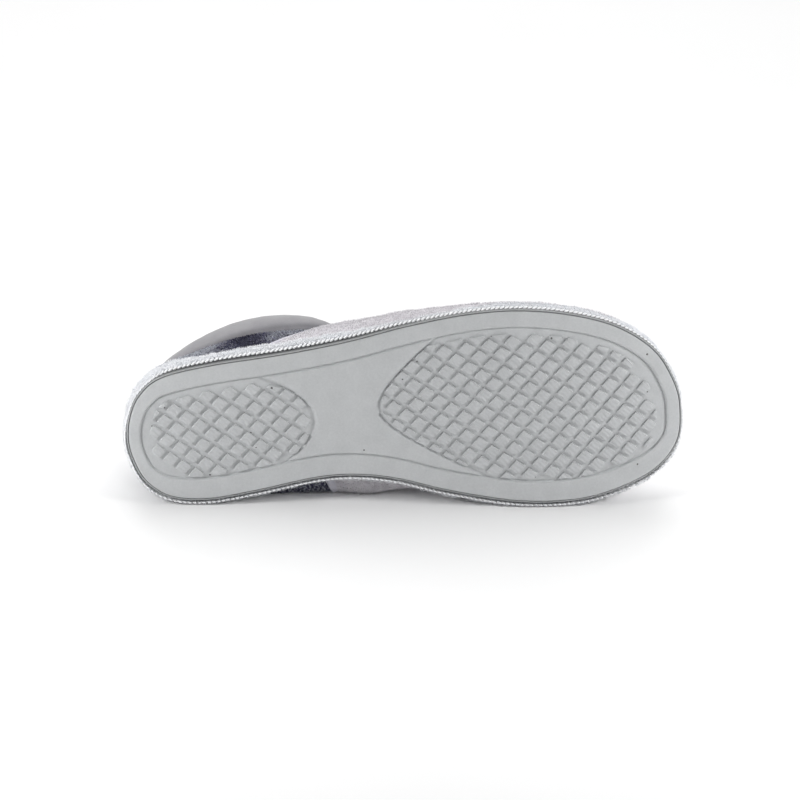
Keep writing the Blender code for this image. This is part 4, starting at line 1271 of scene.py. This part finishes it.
def wall_faces(numbers):
    """Faces between neighbouring columns of point numbers, all around."""
    faces = []
    for here, after in zip(numbers, np.roll(numbers, -1, axis=0)):
        for i in range(len(here) - 1):
            corners = tuple(dict.fromkeys((here[i], after[i], after[i + 1], here[i + 1])))
            if len(corners) > 2:
                faces.append(corners)
    return faces


def crease_depth(wall):
    """How far the surface sinks into its soft creases."""
    depth = np.zeros(len(wall.place))
    for crease in CREASES:
        t = (wall.height - crease.height) / (crease.to_height - crease.height)
        line = crease.place + (crease.to_place - crease.place) * t
        distance = (wall.place - line) * CREASE_ROW_LENGTH
        window = ease(t, 0.0, CREASE_FADE) * (1.0 - ease(t, 1.0 - CREASE_FADE, 1.0))
        depth += (wall.side == crease.side) * window * crease.depth * np.exp(-(distance / crease.width) ** 2)
    return depth


def make_upper(wall):
    """Closed wall with the fleece vamp lapped over the quarter, and pile on the vamp, on the quarter and
    inside.
    """
    distance = (wall.place - VAMP_EDGE_ROW) * ROW_LENGTH
    soft = all_lumps(wall.points, VAMP_LUMPS) * np.where(distance > FOLD_END, 1.0, QUARTER_LUMPS)
    raised = np.interp(distance, *zip(*FOLD)) + soft - crease_depth(wall)
    outer = wall.points + wall.normals * raised[:, None]
    outer[wall.height == 0.0, 2] -= SKIN_SINK
    inner = wall.points - wall.normals * WALL
    inner[wall.height == 0.0, 2] -= FOOT_SINK
    numbers = wall.numbers
    total = len(outer)
    outer_faces = wall_faces(numbers)
    inner_faces = [tuple(np.array(face)[::-1] + total) for face in outer_faces]
    rims = []
    open_after = np.roll(wall.open_top, -1)
    for j, (low, high) in enumerate(zip(numbers, np.roll(numbers, -1, axis=0))):
        rims.append((low[0], low[0] + total, high[0] + total, high[0]))
        if wall.open_top[j] or open_after[j]:
            rims.append((low[-1], high[-1], high[-1] + total, low[-1] + total))
    faces = outer_faces + inner_faces + rims
    points = np.vstack([outer, inner])
    used = np.unique(np.concatenate([np.array(face) for face in faces]))
    renumber = np.full(len(points), -1)
    renumber[used] = np.arange(len(used))
    points = points[used]
    faces = oriented(points, consistent(points, [tuple(renumber[list(face)]) for face in faces]))
    place = np.concatenate([distance, distance])[used]
    outside = used < total
    indices = []
    for face in faces:
        corners = list(face)
        mean = place[corners].mean()
        if not outside[corners].all():
            indices.append(INSIDE)
        elif mean < 0.0:
            indices.append(ON_QUARTER)
        else:
            indices.append(ON_FOLD if mean < FOLD_END else ON_VAMP)
    materials = [cloth(fabric) for fabric in UPPER_FABRICS]
    piece = add_piece("upper_wall", points, faces, materials, indices=indices)
    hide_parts("upper")
    grow_upper_pile(wall, outer, inner, distance, outer_faces)


def grow_upper_pile(wall, outer, inner, distance, outer_faces):
    """Fleece nap on the vamp, long fur on the quarter and inside."""
    faces = triangles_of(outer_faces)
    mean = distance[faces].mean(axis=1)
    height = wall.height[faces].mean(axis=1)
    bare_top = (mean > LINING_TOP_START) & (height > LINING_TOP)
    fleece = Surface(outer, wall.normals, faces[mean > FOLD_END + NAP_START])
    quarter = Surface(outer, wall.normals, faces[(mean < FUR_END) & (height < FUR_TOP)])
    inside = Surface(inner, -wall.normals, faces[(mean < LINING_END) & (height > LINING_LOW) & ~bare_top])
    grow_pile("vamp_nap", fleece, FLEECE_PILE, FLEECE_FUR)
    grow_pile("quarter_fur", quarter, QUARTER_PILE, QUARTER_FUR, QUARTER_TONE_AND_SHADING)
    grow_pile("lining_fur", inside, LINING_PILE, LINING_FUR)


# Collar and insole


def make_collar(wall):
    """Padded fabric roll around the opening, with a crease above the band that joins it to the quarter."""
    count = len(wall.numbers)
    place = wall.place.reshape(count, -1)[:, 0]
    side = wall.side.reshape(count, -1)[:, 0]
    wanted = np.arange(THROAT * COLLAR_COLUMNS_PER_ROW + 1) / COLLAR_COLUMNS_PER_ROW
    around = np.concatenate([wanted, wanted[-2:0:-1]])
    signs = np.where(np.arange(len(around)) < len(wanted), LATERAL, MEDIAL)
    rim = []
    for sign, value in zip(signs, around):
        fits = np.isclose(place, value, atol=1e-4) & ((side == sign) | (value == 0.0))
        rim.append(wall.numbers[int(np.argmax(fits)), -1])
    places = slanted(LATERAL, around, np.ones(len(around)))
    row = COLLAR[0]._make(table_at(COLLAR, places).T[:, :, None])
    normals = wall.normals[rim]
    points = wall.points[rim] - normals * WALL / 2.0
    for _ in range(COLLAR_SMOOTHING):
        normals = (np.roll(normals, 1, axis=0) + 2.0 * normals + np.roll(normals, -1, axis=0)) / 4.0
    along = unit(np.roll(points, -1, axis=0) - np.roll(points, 1, axis=0))
    away = unit(np.cross(normals, along))
    away[:, 2] += row.upright[:, 0]
    away = unit(away - along * np.sum(away * along, axis=1)[:, None])
    across = unit(np.cross(along, away))
    centres = smooth_loop(points + away * (row.tall / 2.0 - row.sink) + across * row.out, COLLAR_SAMPLES)
    away = unit(smooth_loop(away, COLLAR_SAMPLES))
    sizes = smooth_loop(np.hstack([row.tall, row.thick]), COLLAR_SAMPLES)
    along = np.roll(centres, -1, axis=0) - np.roll(centres, 1, axis=0)
    across = unit(np.cross(along, away))
    rings = []
    for k in range(COLLAR_SIDES):
        angle = 2.0 * math.pi * k / COLLAR_SIDES
        turn = abs((math.degrees(angle) + 180.0) % 360.0 - 180.0)
        dent = 1.0 - COLLAR_CREASE * math.exp(-((turn - COLLAR_CREASE_ANGLE) / COLLAR_CREASE_WIDTH) ** 2)
        tall = sizes[:, :1] / 2.0 * math.cos(angle) * dent
        thick = sizes[:, 1:] / 2.0 * math.sin(angle) * dent
        ring = centres + across * thick + away * tall
        pull = lumps(ring * np.array(COLLAR_WRINKLE_STRETCH), COLLAR_WRINKLE_SIZE, COLLAR_WRINKLE_SEED)
        pull = pull[:, None] * COLLAR_WRINKLE
        rings.append(ring + (across * math.sin(angle) + away * math.cos(angle)) * pull)
    points = np.vstack(rings)
    faces = [tuple(face) for face in ring_faces(len(centres), COLLAR_SIDES)]
    first = np.arange(len(centres))
    last = first + len(centres) * (COLLAR_SIDES - 1)
    ends = zip(last, np.roll(last, -1), np.roll(first, -1), first)
    faces += list(ends)
    piece = add_piece("collar_roll", points, oriented(points, faces), [cloth(COLLAR_FABRIC)])
    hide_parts("collar")


def make_insole():
    """Sock under the foot with fur on its upper face."""
    rings = sole_layer(INSOLE_PROFILE, -INSOLE_INSET, lambda x: platform_top(x) + GAP,
                       lambda x: platform_top(x) + GAP + INSOLE_THICK)
    points, faces = closed_layer(rings)[:2]
    normals = mesh_normals(points, faces)
    piece = add_piece("insole_sock", points, faces, [cloth(SOCK_BACKING)])
    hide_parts("insole")
    top = normals[:, 2] > SOCK_UPWARD
    upward = triangles_of([face for face in faces if top[list(face)].all()])
    grow_pile("insole_fur", Surface(points, normals, upward), SOCK_PILE, SOCK_FUR)


# Stage


def make_camera():
    """Camera at the photograph's angle to the shoe: the heel back's middle falls on its pixel there."""
    along, across, up = (Vector(TURN[:, k]) for k in range(3))
    tilt, slope = math.radians(VIEW_TILT), math.radians(PHOTO_SLOPE)
    back = -across * math.sin(tilt) - up * math.cos(tilt)
    over = back.cross(along)
    right = along * math.cos(slope) - over * math.sin(slope)
    above = along * math.sin(slope) + over * math.cos(slope)
    distance = LENS / SENSOR * PHOTO_SIZE / PIXELS_PER_MM
    to_right = (PHOTO_SIZE / 2.0 - PHOTO_HEEL[0]) / PIXELS_PER_MM
    to_top = (PHOTO_HEEL[1] - PHOTO_SIZE / 2.0) / PIXELS_PER_MM
    target = Vector(ORIGIN) + (right * to_right + above * to_top) * MM
    data = bpy.data.cameras.new("camera")
    data.lens = LENS
    data.sensor_width = SENSOR
    data.clip_end = FAR_CLIP
    camera = bpy.data.objects.new("camera", data)
    bpy.context.scene.collection.objects.link(camera)
    turn = Matrix((right, above, back)).transposed()
    camera.matrix_world = Matrix.Translation(target + back * distance * MM) @ turn.to_4x4()
    bpy.context.scene.camera = camera


def make_light(kind):
    data = bpy.data.lights.new(kind.name, "AREA")
    data.shape = "SQUARE"
    data.size = kind.size
    data.energy = kind.power
    light = bpy.data.objects.new(kind.name, data)
    light.location = kind.place
    aim = Vector(LIGHT_AIM) - Vector(kind.place)
    light.rotation_euler = aim.to_track_quat("-Z", "Y").to_euler()
    bpy.context.scene.collection.objects.link(light)


def make_stage():
    """Pale floor, softboxes above, low in front, beside the front and at the ends, and a white surround."""
    bpy.ops.mesh.primitive_plane_add(size=FLOOR_SIZE)
    floor = bpy.context.object
    floor.name = "floor"
    paper = patchy("floor", FLOOR_COLOUR, FLOOR_STOPS, size=60.0, roughness=0.9, specular=0.1)
    floor.data.materials.append(paper)
    for kind in LIGHTS:
        make_light(kind)
    world = bpy.data.worlds.new("surround")
    world.use_nodes = True
    background = world.node_tree.nodes["Background"]
    background.inputs["Color"].default_value = (1.0, 1.0, 1.0, 1.0)
    background.inputs["Strength"].default_value = SURROUND
    bpy.context.scene.world = world
    bpy.context.scene.view_settings.view_transform = "Standard"


make_camera()
make_stage()
make_outsole()
make_specks()
make_platform()
make_whip_stitch()
WALL_SKIN = make_wall()
make_upper(WALL_SKIN)
make_collar(WALL_SKIN)
make_insole()
